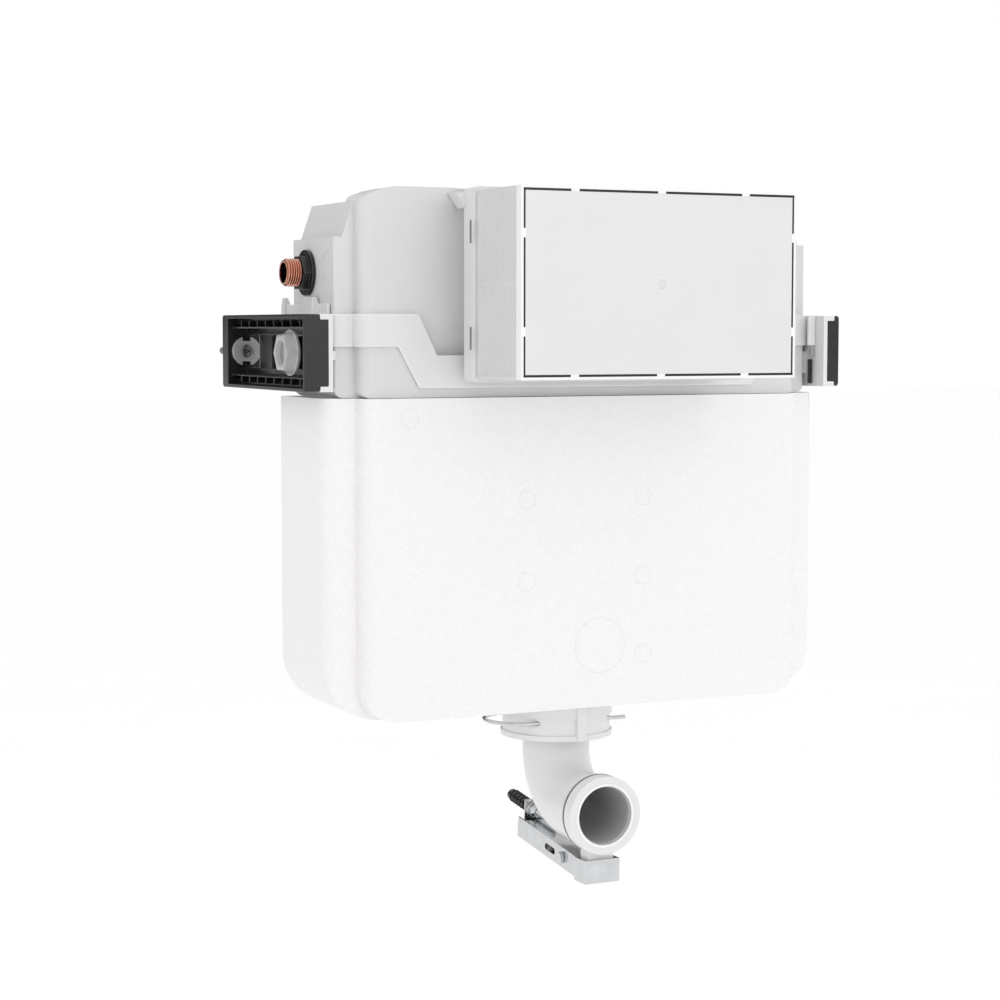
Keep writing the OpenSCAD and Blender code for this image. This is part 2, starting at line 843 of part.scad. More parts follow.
module wall_screw(side) {
    start = -end_block - gap - washer_t;
    color("Silver") on_side(side) translate([screw_x, 0, 0]) difference() {
        union() {
            translate([0, start - screw_head_t, 0]) rod_y(screw_head_r, screw_head_t);
            translate([0, start - cut_over, 0])
                rod_y(screw_shank_r, cut_over - start - screw_seat_depth + gap);
            translate([0, -screw_seat_depth, 0])
                rod_y(screw_r, wall_screw_out - screw_point + screw_seat_depth);
            translate([0, wall_screw_out - screw_point, 0]) rotate([-90, 0, 0])
                cylinder(r1 = screw_r, r2 = screw_r / 4, h = screw_point, $fn = fine);
        }
        for (turn = [0, 90])
            translate([0, start - screw_head_t - cut_over, 0]) rotate([0, turn, 0])
                translate([-cross_l / 2, 0, -cross_w / 2])
                    cube([cross_l, cut_over + cross_depth, cross_w]);
    }
}

module wall_screw_left() { wall_screw(-1); }

module wall_screw_right() { wall_screw(1); }

// Washer with a notch in each side
module wall_washer(side) {
    color("DarkGray") on_side(side)
        translate([screw_x, -end_block - gap, 0]) rotate([90, 0, 0]) linear_extrude(washer_t)
            difference() {
                circle(washer_r, $fn = fine);
                circle(screw_shank_r + screw_gap, $fn = fine);
                for (up = [-1, 1]) translate([0, up * washer_r])
                    square([washer_notch, washer_notch], center = true);
            }
}

module wall_washer_left() { wall_washer(-1); }

module wall_washer_right() { wall_washer(1); }

module inlet_nipple() {
    color("Peru") translate([-side_x - inlet_reach, -inlet_y, inlet_z]) difference() {
        union() {
            rod_x(inlet_d / 2, inlet_reach - inlet_hex_t - gap);
            rod_x(nipple_r, inlet_reach + nipple_in);
        }
        translate([-cut_over, 0, 0]) rod_x(inlet_bore_d / 2, inlet_reach + nipple_in + 2 * cut_over);
    }
}

// Back nut: a round flange on the tank's side with a hexagon behind the thread
module inlet_nut() {
    color("DimGray") translate([-side_x - gap, -inlet_y, inlet_z]) rotate([0, -90, 0])
        difference() {
            union() {
                cylinder(r = inlet_flange_r, h = inlet_flange_t, $fn = fine);
                rotate([0, 0, 30]) cylinder(r = inlet_hex_r, h = inlet_hex_t, $fn = 6);
            }
            translate([0, 0, -cut_over])
                cylinder(r = nipple_r + fit_gap, h = inlet_hex_t + 2 * cut_over, $fn = fine);
        }
}

module inlet_seal() {
    color("DimGray") translate([-side_x + tank_wall + gap, -inlet_y, inlet_z]) rotate([0, 90, 0])
        pipe(valve_flange_r - seal_in, nipple_r + fit_gap, seal_t);
}

// Frame on the tank's front that carries the shaft; its neck stands above the strap
module shaft_frame() {
    neck_up = neck_z - shaft_z;
    slit_at = frame_depth - frame_lip - slit_lip;
    color("WhiteSmoke") translate([0, frame_y, shaft_z]) rotate([90, 0, 0]) difference() {
        union() {
            translate([0, neck_up, 0]) linear_extrude(frame_depth) round_rect(neck_w, neck_h, frame_r);
            translate([0, 0, neck_depth]) linear_extrude(frame_depth - neck_depth)
                round_rect(frame_w, frame_h, frame_r);
            translate([0, 0, frame_depth - frame_lip]) linear_extrude(frame_lip)
                round_rect(frame_w + 2 * shaft_wall, frame_h, frame_r);
            for (side = [-1, 1]) on_side(side) gusset();
        }
        translate([0, neck_up, -cut_over]) linear_extrude(frame_depth + 2 * cut_over)
            round_rect(opening_w, opening_h, frame_r);
        translate([0, 0, neck_depth + frame_t]) linear_extrude(frame_depth)
            round_rect(frame_w - 2 * frame_t, frame_h - 2 * frame_t, frame_r);
        for (side = [-1, 1], up = [-1, 1])
            translate([side * frame_w / 2, up * slit_share * frame_h / 2, slit_at])
                cube([slit_in, slit_h, slit_w], center = true);
    }
}

// Gusset behind the frame's upper corner, from its side down to a point
module gusset() {
    x = frame_w / 2;
    top = frame_h / 2 - gusset_top_in;
    translate([0, 0, recess_depth + gap]) linear_extrude(gusset_l) polygon([
        [x - gusset_root, top], [x + gusset_out, top], [x, top - gusset_h],
        [x - gusset_root, top - gusset_h]]);
}

// Shaft with cutting ridges all round, so that it can be shortened to the wall's depth
module service_shaft() {
    ridges_l = ridge_count * ridge_pitch;
    inside = 2 * (ridge_depth + shaft_wall);
    color("WhiteSmoke") translate([0, shaft_back_y, shaft_z]) rotate([90, 0, 0]) difference() {
        union() {
            linear_extrude(shaft_l)
                square([cover_w - 2 * ridge_depth, cover_h - 2 * ridge_depth], center = true);
            for (i = [0 : ridge_count - 1]) translate([0, 0, (i + 1 / 2) * ridge_pitch])
                linear_extrude(ridge_pitch / 2) square([cover_w, cover_h], center = true);
            translate([0, 0, ridges_l]) linear_extrude(shaft_l - ridges_l)
                square([cover_w, cover_h], center = true);
        }
        translate([0, 0, -cut_over]) linear_extrude(shaft_l + 2 * cut_over)
            round_rect(cover_w - inside, cover_h - inside, frame_r);
    }
}

// Narrow frame round the knock-out panel: joined at the corners, broken by bridges
module broken_slot(w, h) {
    difference() {
        square([w + slot_w, h + slot_w], center = true);
        square([w - slot_w, h - slot_w], center = true);
        for (share = bridge_shares) translate([share * w / 2, 0])
            square([slot_bridge, h + 2 * slot_w], center = true);
        for (share = side_bridge_shares) translate([0, share * h / 2])
            square([w + 2 * slot_w, slot_bridge], center = true);
    }
}

// Cover plate with broken slots round its knock-out panel and a skirt into the shaft
module front_cover() {
    skirt_in = 2 * (ridge_depth + shaft_wall + gap);
    color("WhiteSmoke") translate([0, cover_back_y, shaft_z]) rotate([90, 0, 0]) difference() {
        union() {
            linear_extrude(cover_t) square([cover_w, cover_h], center = true);
            translate([0, 0, -skirt_depth]) linear_extrude(skirt_depth + cut_over)
                round_rect(cover_w - skirt_in, cover_h - skirt_in, frame_r);
        }
        translate([0, 0, -skirt_depth - cut_over]) linear_extrude(skirt_depth + cut_over + cover_t / 2)
            round_rect(cover_w - skirt_in - 2 * skirt_t, cover_h - skirt_in - 2 * skirt_t, skirt_t);
        translate([0, 0, cover_t - slot_depth]) linear_extrude(slot_depth + cut_over)
            broken_slot(cover_w - 2 * slot_inset - slot_w, cover_h - 2 * slot_inset - slot_w);
        translate([0, 0, cover_t - knob_depth])
            cylinder(r = knob_d / 2, h = knob_depth + cut_over, $fn = fine);
    }
}

// Collar under the tank: a cup with a rim, a rib in front and two holes for the clip
module outlet_collar() {
    h = collar_top_z - collar_bottom_z;
    color("WhiteSmoke") translate([0, valve_y, collar_bottom_z]) difference() {
        union() {
            cylinder(r = collar_r - collar_rim, h = h, $fn = fine);
            cylinder(r = collar_r, h = collar_rim_h, $fn = fine);
            translate([0, 0, clip_z - collar_bottom_z + collar_rim_h])
                cylinder(r = collar_r, h = h - clip_z + collar_bottom_z - collar_rim_h, $fn = fine);
            translate([-rib_w / 2, -collar_r - rib_out, 0]) cube([rib_w, collar_r, h - foam_wall]);
        }
        translate([0, 0, -cut_over])
            cylinder(r = collar_bore_r, h = h - collar_roof_t + cut_over, $fn = fine);
        cylinder(r = drain_r, h = h + cut_over, $fn = fine);
        for (back = [-1, 1]) translate([-collar_r, back * clip_half, clip_z - collar_bottom_z])
            rod_x(clip_wire_r + gap, 2 * collar_r);
    }
}

module outlet_seal() {
    top = collar_top_z - collar_roof_t - gap;
    bottom = bend_flange_z + bend_flange_t + gap;
    color("DimGray") translate([0, valve_y, bottom])
        pipe(collar_bore_r - 2 * gap, spigot_r + 2 * gap, top - bottom);
}

// Wire fork that holds the bend's flange up in the collar
module retaining_clip() {
    loop_x = clip_out - clip_half;
    color("Silver") translate([0, valve_y, clip_z]) {
        for (back = [-1, 1]) translate([-loop_x, back * clip_half, 0])
            rod_x(clip_wire_r, loop_x + clip_end_x);
        translate([-loop_x, 0, 0]) rotate([0, 0, 90]) rotate_extrude(angle = 180, $fn = fine)
            translate([clip_half, 0]) circle(clip_wire_r, $fn = round_fn);
    }
}
// Flush bend: flange and pipe, a quarter turn, then the socket with its rim and foot
module flush_bend() {
    pipe_l = bend_flange_z + bend_flange_t - outlet_z - bend_turn_r;
    foot_y = -box_back - box_d / 2 - foot_d / 2;
    turn_z = outlet_z + bend_turn_r;
    turn_y = valve_y - bend_turn_r;
    straight = outlet_face + turn_y;
    color("WhiteSmoke") difference() {
        union() {
            translate([0, valve_y, bend_flange_z])
                cylinder(r = bend_flange_r, h = bend_flange_t, $fn = fine);
            translate([0, valve_y, turn_z]) cylinder(r = bend_r, h = pipe_l, $fn = fine);
            translate([0, turn_y, turn_z]) rotate([0, 90, 0])
                rotate_extrude(angle = 90, $fn = fine)
                    translate([bend_turn_r, 0]) circle(bend_r, $fn = fine);
            translate([0, -outlet_face, outlet_z]) rod_y(bend_r, straight);
            translate([0, -outlet_face, outlet_z]) rod_y(socket_r, socket_l);
            translate([0, -outlet_face, outlet_z]) rod_y(socket_rim_d / 2, rim_l);
            translate([-foot_w / 2, foot_y, foot_bottom_z])
                cube([foot_w, foot_d, outlet_z - bend_r - foot_bottom_z]);
        }
        translate([0, valve_y, turn_z])
            cylinder(r = bend_r - bend_wall, h = pipe_l + cut_over, $fn = fine);
        translate([0, turn_y, turn_z]) rotate([0, 90, 0])
            rotate_extrude(angle = 90, $fn = fine) translate([bend_turn_r, 0])
                circle(bend_r - bend_wall, $fn = fine);
        translate([0, -outlet_face - cut_over, outlet_z]) rod_y(lip_r, straight + cut_over);
        translate([0, -outlet_face - cut_over, outlet_z]) rod_y(lip_seat_r, lip_l + cut_over);
        translate([0, -outlet_face + rim_l, outlet_z]) rotate([-90, 0, 0]) difference() {
            cylinder(r = socket_rim_d / 2, h = seam_w, $fn = fine);
            translate([0, 0, -cut_over])
                cylinder(r = socket_r - seam_w / 2, h = seam_w + 2 * cut_over, $fn = fine);
        }
    }
}

module bend_lip_seal() {
    color("DimGray") translate([0, -outlet_face, outlet_z]) rotate([-90, 0, 0])
        pipe(lip_seat_r - fit_gap, lip_r, lip_l - fit_gap);
}

// Steel bracket: a rising channel with a box in front for the bend's foot
module arm_place() {
    translate([0, -box_back, box_top_z]) rotate([arm_tilt, 0, 0]) children();
}

module bend_bracket() {
    color("Silver") {
        difference() {
            arm_place() difference() {
                translate([-arm_w / 2, -steel_t, -arm_h]) cube([arm_w, arm_l + steel_t, arm_h]);
                translate([-arm_w / 2 + steel_t, -2 * steel_t, -arm_h + steel_t])
                    cube([arm_w - 2 * steel_t, arm_l + 4 * steel_t, arm_h]);
                translate([-arm_w, arm_slot_y - arm_slot_l / 2, -arm_h / 2]) {
                    translate([0, 0, -arm_slot_r]) cube([2 * arm_w, arm_slot_l, 2 * arm_slot_r]);
                    rod_x(arm_slot_r, 2 * arm_w);
                    translate([0, arm_slot_l, 0]) rod_x(arm_slot_r, 2 * arm_w);
                }
                translate([-arm_w, clamp_screw_y, -arm_h / 2]) rod_x(clamp_screw_r + gap, 2 * arm_w);
            }
            translate([-box_w, -box_front, box_top_z - box_h - cut_over])
                cube([2 * box_w, box_d, box_h + 2 * cut_over]);
        }
        arm_place() translate([-lug_w / 2, arm_l - steel_t, -arm_h]) difference() {
            cube([lug_w, steel_t, arm_h + lug_h]);
            translate([lug_w / 2, -cut_over, arm_h + stud_z]) rod_y(lug_hole_r, steel_t + 2 * cut_over);
        }
        difference() {
            translate([-box_w / 2, -box_front, box_top_z - box_h]) cube([box_w, box_d, box_h]);
            translate([-box_w / 2 + steel_t, -box_front + steel_t, box_top_z - box_h + steel_t])
                cube([box_w - 2 * steel_t, box_d - 2 * steel_t, box_h]);
        }
    }
}

module bend_clamp_screw() {
    color("Silver") arm_place() translate([-arm_w / 2, clamp_screw_y, -arm_h / 2]) {
        translate([-gap - clamp_head_t, 0, 0]) rod_x(clamp_head_r, clamp_head_t);
        translate([-gap - cut_over, 0, 0]) rod_x(clamp_screw_r, arm_w + 2 * gap + 2 * cut_over);
        translate([arm_w + gap, 0, 0]) rotate([0, 90, 0])
            cylinder(r = clamp_head_r, h = clamp_head_t, $fn = 6);
    }
}

// Hanger stud with its nut and washer in front of the lug
module bend_wall_screw() {
    color("Silver") arm_place() translate([0, arm_l - stud_front, stud_z]) {
        rod_y(screw_r, stud_front + plug_l - screw_point);
        translate([0, stud_front - steel_t - gap - stud_nut_t, 0]) rotate([-90, 0, 0])
            cylinder(r = stud_nut_r, h = stud_nut_t, $fn = 6);
        translate([0, stud_front - steel_t - gap - steel_t, 0]) rod_y(stud_washer_r, steel_t);
    }
}

// Wall plug with fins
module bend_wall_plug() {
    color("DimGray") arm_place() translate([0, arm_l + gap, stud_z]) rotate([-90, 0, 0])
        difference() {
            union() {
                cylinder(r = plug_r, h = plug_l, $fn = fine);
                cylinder(r = plug_rim_r, h = plug_fin_t, $fn = fine);
                for (i = [1 : plug_fins]) translate([0, 0, i * plug_l / (plug_fins + 1)])
                    cylinder(r1 = plug_fin_r, r2 = plug_r, h = plug_fin_t, $fn = fine);
            }
            translate([0, 0, -cut_over])
                cylinder(r = screw_r + fit_gap, h = plug_l - screw_point / 2, $fn = fine);
        }
}

// Stop valve on the inlet's inner end, with its branch down to the hose
module stop_valve() {
    color("Goldenrod") translate([-valve_x, -inlet_y, inlet_z]) difference() {
        union() {
            rod_x(valve_flange_r, valve_flange_t);
            rod_x(valve_r, valve_l);
            translate([valve_x - hose_x, 0, -valve_r - branch_drop])
                cylinder(r = branch_r, h = valve_r + branch_drop, $fn = fine);
        }
        translate([-cut_over, 0, 0]) rod_x(nipple_r + fit_gap, nipple_in - tank_wall + cut_over);
        translate([-cut_over, 0, 0]) rod_x(inlet_bore_d / 2, valve_l - valve_r + cut_over);
        translate([valve_x - hose_x, 0, -valve_r - branch_drop - cut_over])
            cylinder(r = hose_r - hose_wall, h = valve_r + branch_drop + cut_over, $fn = fine);
        translate([valve_l - valve_r / 2, 0, 0]) rod_x(spindle_r + fit_gap, valve_r);
    }
}

// Hand wheel with flutes, on its spindle
module stop_valve_handle() {
    color("RoyalBlue") translate([-valve_x + valve_l + gap, -inlet_y, inlet_z]) rotate([0, 90, 0])
        difference() {
            union() {
                cylinder(r = handle_r, h = handle_t, $fn = fine);
                translate([0, 0, -valve_r / 2])
                    cylinder(r = spindle_r, h = valve_r / 2 + cut_over, $fn = fine);
            }
            for (i = [0 : handle_flutes - 1]) rotate([0, 0, i * 360 / handle_flutes])
                translate([handle_r + handle_flute_r / 2, 0, -cut_over])
                    cylinder(r = handle_flute_r, h = handle_t + 2 * cut_over, $fn = fine);
        }
}

// Hose: down from the stop valve, a half turn, and up to the fill valve
module supply_hose() {
    top_z = inlet_z - valve_r - branch_drop - gap;
    color("Silver") translate([-fill_x - hose_turn_r, -inlet_y, hose_low_z]) {
        translate([-hose_turn_r, 0, 0]) cylinder(r = hose_r, h = top_z - hose_low_z, $fn = fine);
        rotate([-90, 0, 0]) rotate_extrude(angle = 180, $fn = fine)
            translate([hose_turn_r, 0]) circle(hose_r, $fn = fine);
        translate([hose_turn_r, 0, 0])
            cylinder(r = hose_r, h = shank_bottom_z - gap - hose_low_z, $fn = fine);
    }
}

// Union nut: its lower half round the hose, its upper half round what the hose joins
module hose_nut(top_r) {
    difference() {
        cylinder(r = hose_nut_r, h = 2 * hose_nut_h, $fn = 6);
        translate([0, 0, -cut_over])
            cylinder(r = hose_r + fit_gap, h = hose_nut_h + 2 * cut_over, $fn = fine);
        translate([0, 0, hose_nut_h])
            cylinder(r = top_r + fit_gap, h = hose_nut_h + cut_over, $fn = fine);
    }
}

module hose_nuts() {
    color("Goldenrod") {
        translate([-hose_x, -inlet_y, inlet_z - valve_r - branch_drop - hose_nut_h]) hose_nut(branch_r);
        translate([-fill_x, -inlet_y, shank_bottom_z - hose_nut_h]) hose_nut(shank_r);
    }
}

// Fill valve: shank, head and the ear that carries the lever's pin
module fill_valve_body() {
    color("WhiteSmoke") translate([-fill_x, -inlet_y, 0]) {
        difference() {
            union() {
                translate([0, 0, shank_bottom_z])
                    cylinder(r = shank_r, h = head_z - shank_bottom_z + cut_over, $fn = fine);
                translate([0, 0, head_z]) cylinder(r = head_r, h = head_h, $fn = fine);
            }
            translate([0, 0, shank_bottom_z - cut_over])
                cylinder(r = shank_r - shank_wall, h = head_z - shank_bottom_z + head_h / 2, $fn = fine);
        }
        translate([fill_x - lever_x, -lever_y + inlet_y - lever_t - gap, lever_z])
            rod_y(pin_r, lever_t + gap + lever_y - inlet_y - head_r / 2);
    }
}

module fill_valve_cap() {
    color("Gainsboro") translate([-fill_x, -inlet_y, head_z + head_h + gap]) {
        cylinder(r = cap_r, h = cap_h / 2, $fn = fine);
        translate([0, 0, cap_h / 2]) cylinder(r1 = cap_r, r2 = cap_r / 2, h = cap_h / 2, $fn = fine);
    }
}

// Lever in front of the head; the float's rod lifts its round nose
module fill_valve_lever() {
    color("WhiteSmoke") translate([-lever_x, -lever_y, lever_z]) rotate([90, 0, 0])
        linear_extrude(lever_t) difference() {
            union() {
                circle(lever_h / 2, $fn = fine);
                translate([-lever_l, -nose_r]) square([lever_l, lever_h / 2]);
                translate([-lever_l, 0]) circle(nose_r, $fn = fine);
            }
            circle(pin_r + fit_gap, $fn = fine);
        }
}

// Float: a cup open below, with an ear and the rod that pushes the lever
module fill_valve_float() {
    cup_top_z = cup_bottom_z + cup_h;
    rod_out = rod_x - fill_x;
    rod_front = inlet_y - lever_y - lever_t / 2;
    ear_l = norm([rod_front, rod_out]) - cup_r + cup_wall;
    color("White") translate([-fill_x, -inlet_y, 0]) {
        difference() {
            translate([0, 0, cup_bottom_z]) cylinder(r = cup_r, h = cup_h, $fn = fine);
            translate([0, 0, cup_bottom_z - cut_over]) difference() {
                cylinder(r = cup_r - cup_wall, h = cup_h - cup_wall + cut_over, $fn = fine);
                cylinder(r = shank_r + gap + cup_wall, h = cup_h + 2 * cut_over, $fn = fine);
            }
            translate([0, 0, cup_bottom_z - cut_over])
                cylinder(r = shank_r + gap, h = cup_h + 2 * cut_over, $fn = fine);
        }
        translate([-rod_out, rod_front, cup_top_z - lever_h]) {
            cylinder(r = rod_r, h = lever_z - nose_r - gap - cup_top_z + lever_h, $fn = fine);
            rotate([0, 0, atan2(-rod_front, rod_out)])
                translate([0, -rod_r, 0]) cube([ear_l, 2 * rod_r, lever_h / 2]);
        }
    }
}

// Holder: a ring round the shank on an arm from the tank's back wall
module fill_valve_holder() {
    reach = inlet_y - wall_gap - tank_wall - gap;
    color("Gainsboro") translate([-fill_x, -inlet_y, holder_z]) difference() {
        union() {
            cylinder(r = shank_r + holder_ring_t, h = holder_h, $fn = fine);
            translate([-holder_w / 4, 0, 0]) cube([holder_w / 2, reach, holder_h]);
            translate([-holder_w / 2, reach - holder_foot_t, 0])
                cube([holder_w, holder_foot_t, 2 * holder_h]);
        }
        translate([0, 0, -cut_over])
            cylinder(r = shank_r + fit_gap, h = holder_h + 2 * cut_over, $fn = fine);
    }
}

// Basket: spigot, seat, slotted cage and the guide tube that carries the bridge
module flush_basket() {
    cage_l = cage_top_z - seat_z;
    spigot_z = bend_flange_z + bend_flange_t + gap;
    color("WhiteSmoke") translate([0, valve_y, 0]) {
        difference() {
            union() {
                translate([0, 0, floor_in_z + gap])
                    cylinder(r = basket_flange_r, h = seat_h - gap, $fn = fine);
                translate([0, 0, spigot_z])
                    cylinder(r = spigot_r, h = floor_in_z + gap + cut_over - spigot_z, $fn = fine);
            }
            translate([0, 0, bend_flange_z])
                cylinder(r = spigot_bore_r, h = floor_in_z - bend_flange_z + seat_h + cut_over, $fn = fine);
        }
        difference() {
            translate([0, 0, seat_z - cut_over])
                pipe(basket_flange_r, basket_flange_r - cage_t, cage_l + cut_over);
            for (i = [0 : cage_windows / 2 - 1]) rotate([0, 0, i * 360 / cage_windows])
                translate([-window_w / 2, -basket_flange_r - cut_over, seat_z + cage_t])
                    cube([window_w, 2 * basket_flange_r + 2 * cut_over, cage_l - cage_head_h]);
        }
        translate([0, 0, cage_top_z - cage_t]) pipe(basket_flange_r, guide_bore_r, cage_t);
        translate([0, 0, cage_top_z - cut_over])
            pipe(guide_tube_r, guide_bore_r, guide_top_z - cage_top_z + cut_over);
        translate([0, 0, guide_top_z - guide_flange_t]) pipe(guide_flange_r, guide_bore_r, guide_flange_t);
    }
}

// Overflow tube with its disc over the seat and its lifting collar
module flush_tube() {
    color("Gainsboro") translate([0, valve_y, 0]) difference() {
        union() {
            translate([0, 0, seat_z + gap + rubber_t]) {
                cylinder(r = tube_r, h = tube_top_z - seat_z - gap - rubber_t, $fn = fine);
                cylinder(r = disc_r, h = disc_t, $fn = fine);
            }
            translate([0, 0, tube_collar_z]) cylinder(r = collar_ring_r, h = collar_ring_t, $fn = fine);
        }
        translate([0, 0, seat_z])
            cylinder(r = tube_r - tube_wall, h = tube_top_z - seat_z + cut_over, $fn = fine);
    }
}

module flush_seal() {
    color("DimGray") translate([0, valve_y, seat_z + gap]) pipe(rubber_r, tube_r - tube_wall, rubber_t);
}

// Sleeve round the tube, with its float ring and lifting collar
module half_flush_sleeve() {
    color("RoyalBlue") translate([0, valve_y, 0]) {
        translate([0, 0, float_ring_z])
            pipe(sleeve_r, tube_r + gap, sleeve_collar_z + collar_ring_t - float_ring_z);
        translate([0, 0, float_ring_z]) pipe(float_ring_r, tube_r + gap, float_ring_h);
        translate([0, 0, sleeve_collar_z]) pipe(collar_ring_r, tube_r + gap, collar_ring_t);
    }
}

// Bridge on the basket's head, with two ears for the rockers' pins
module lever_bridge() {
    ear_h = full_pivot_z + ear_w / 2 - guide_top_z - gap;
    color("WhiteSmoke") translate([0, 0, guide_top_z + gap]) difference() {
        union() {
            translate([-ear_x - ear_t, -rocker_y + bridge_notch, 0])
                cube([2 * (ear_x + ear_t), rocker_l + bridge_back - bridge_notch, bridge_t]);
            for (side = [-1, 1])
                translate([side * (ear_x + ear_t / 2) - ear_t / 2, -rocker_y - ear_w / 2, 0]) {
                    cube([ear_t, 2 * ear_w, ear_h]);
                    cube([ear_t, rocker_l, ear_w / 2]);
                }
        }
        translate([0, valve_y, -cut_over])
            cylinder(r = guide_bore_r, h = bridge_t + 2 * cut_over, $fn = fine);
        for (z = [half_pivot_z, full_pivot_z])
            translate([-ear_x - 2 * ear_t, -rocker_y, z - guide_top_z - gap])
                rod_x(pin_r + fit_gap, 2 * ear_x + 4 * ear_t);
    }
}

// Pins through the bridge's ears
module rocker_pins() {
    color("Silver") for (z = [half_pivot_z, full_pivot_z])
        translate([-ear_x - ear_t, -rocker_y, z]) rod_x(pin_r, 2 * (ear_x + ear_t));
}

// Rocker: a hub on its pin, two prongs under a lifting collar and a push pad hanging down
module rocker(pivot_z, prong_x, push_side, push_l) {
    translate([0, -rocker_y, pivot_z]) difference() {
        union() {
            translate([-hub_w / 2, 0, 0]) rod_x(hub_r, hub_w);
            for (side = [-1, 1]) translate([side * (prong_x + prong_t / 2) - prong_t / 2, 0, 0]) {
                translate([0, 0, -nose_r]) cube([prong_t, rocker_l, 2 * nose_r]);
                translate([0, rocker_l, 0]) rod_x(nose_r, prong_t);
            }
            translate([push_side * push_x - push_w / 2, -push_t / 2, -push_l])
                cube([push_w, push_t, push_l]);
        }
        translate([-hub_w, 0, 0]) rod_x(pin_r + fit_gap, 2 * hub_w);
    }
}

module rocker_full() {
    color("Gainsboro") rocker(full_pivot_z, full_prong_x, 1, full_push);
}

module rocker_half() {
    color("RoyalBlue") rocker(half_pivot_z, half_prong_x, -1, half_push);
}

tank_shell();
foam_jacket();
tank_strap();
guide_left();
guide_right();
bracket_left();
bracket_right();
clamp_bush_left();
clamp_bush_right();
clamp_nut_left();
clamp_nut_right();
wall_screw_left();
wall_screw_right();
wall_washer_left();
wall_washer_right();
inlet_nipple();
inlet_nut();
inlet_seal();
shaft_frame();
service_shaft();
front_cover();
outlet_collar();
outlet_seal();
retaining_clip();
flush_bend();
bend_lip_seal();
bend_bracket();
bend_clamp_screw();
bend_wall_screw();
bend_wall_plug();
stop_valve();
stop_valve_handle();
supply_hose();
hose_nuts();
fill_valve_body();
fill_valve_cap();
fill_valve_lever();
fill_valve_float();
fill_valve_holder();
flush_basket();
flush_tube();
flush_seal();
half_flush_sleeve();
lever_bridge();
rocker_full();
rocker_half();
rocker_pins();
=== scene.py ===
# Looks of the concealed cistern: everything is in metres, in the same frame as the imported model
import json
from math import radians

import bmesh
import bpy
import numpy as np
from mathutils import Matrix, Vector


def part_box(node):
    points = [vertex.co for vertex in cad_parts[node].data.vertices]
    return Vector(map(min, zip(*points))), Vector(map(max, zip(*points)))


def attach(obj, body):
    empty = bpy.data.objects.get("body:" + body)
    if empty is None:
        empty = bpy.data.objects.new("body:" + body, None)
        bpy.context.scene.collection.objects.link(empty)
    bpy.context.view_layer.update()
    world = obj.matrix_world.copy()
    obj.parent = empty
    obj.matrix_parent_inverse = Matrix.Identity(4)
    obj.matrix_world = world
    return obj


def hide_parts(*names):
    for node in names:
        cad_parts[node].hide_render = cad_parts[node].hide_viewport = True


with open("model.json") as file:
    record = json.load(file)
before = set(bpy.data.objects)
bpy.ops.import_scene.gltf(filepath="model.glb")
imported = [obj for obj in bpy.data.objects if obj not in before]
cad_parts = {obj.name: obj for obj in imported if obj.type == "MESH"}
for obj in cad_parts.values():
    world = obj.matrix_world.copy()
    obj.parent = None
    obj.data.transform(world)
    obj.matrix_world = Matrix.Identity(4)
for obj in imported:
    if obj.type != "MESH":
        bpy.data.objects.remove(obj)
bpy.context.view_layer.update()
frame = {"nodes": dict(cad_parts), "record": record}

scene = bpy.context.scene
nodes = frame["nodes"]
bodyOf = {node: body for body, members in frame["record"]["behaviour"]["bodies"].items() for node in members}
slotOf = {part["node"]: part["material_slot"] for part in frame["record"]["subparts"]}
mm = 0.001

# camera at the photograph's viewing angle, for a square frame
cameraSettings = {
    "place": (-0.80825, -1.72260, 0.01708),
    "pitch": 85.696,
    "roll": -0.032,
    "yaw": -25.516,
    "lens": 81.506,
    "sensor": 36.0,
}


def makeCamera(settings):
    data = bpy.data.cameras.new("photoCamera")
    data.lens = settings["lens"]
    data.sensor_width = settings["sensor"]
    camera = bpy.data.objects.new("photoCamera", data)
    camera.location = settings["place"]
    camera.rotation_euler = (radians(settings["pitch"]), radians(settings["roll"]), radians(settings["yaw"]))
    scene.collection.objects.link(camera)
    scene.camera = camera


makeCamera(cameraSettings)
print("camera set")

cloudRange = (0.3, 0.7)  # where most values of a noise lie


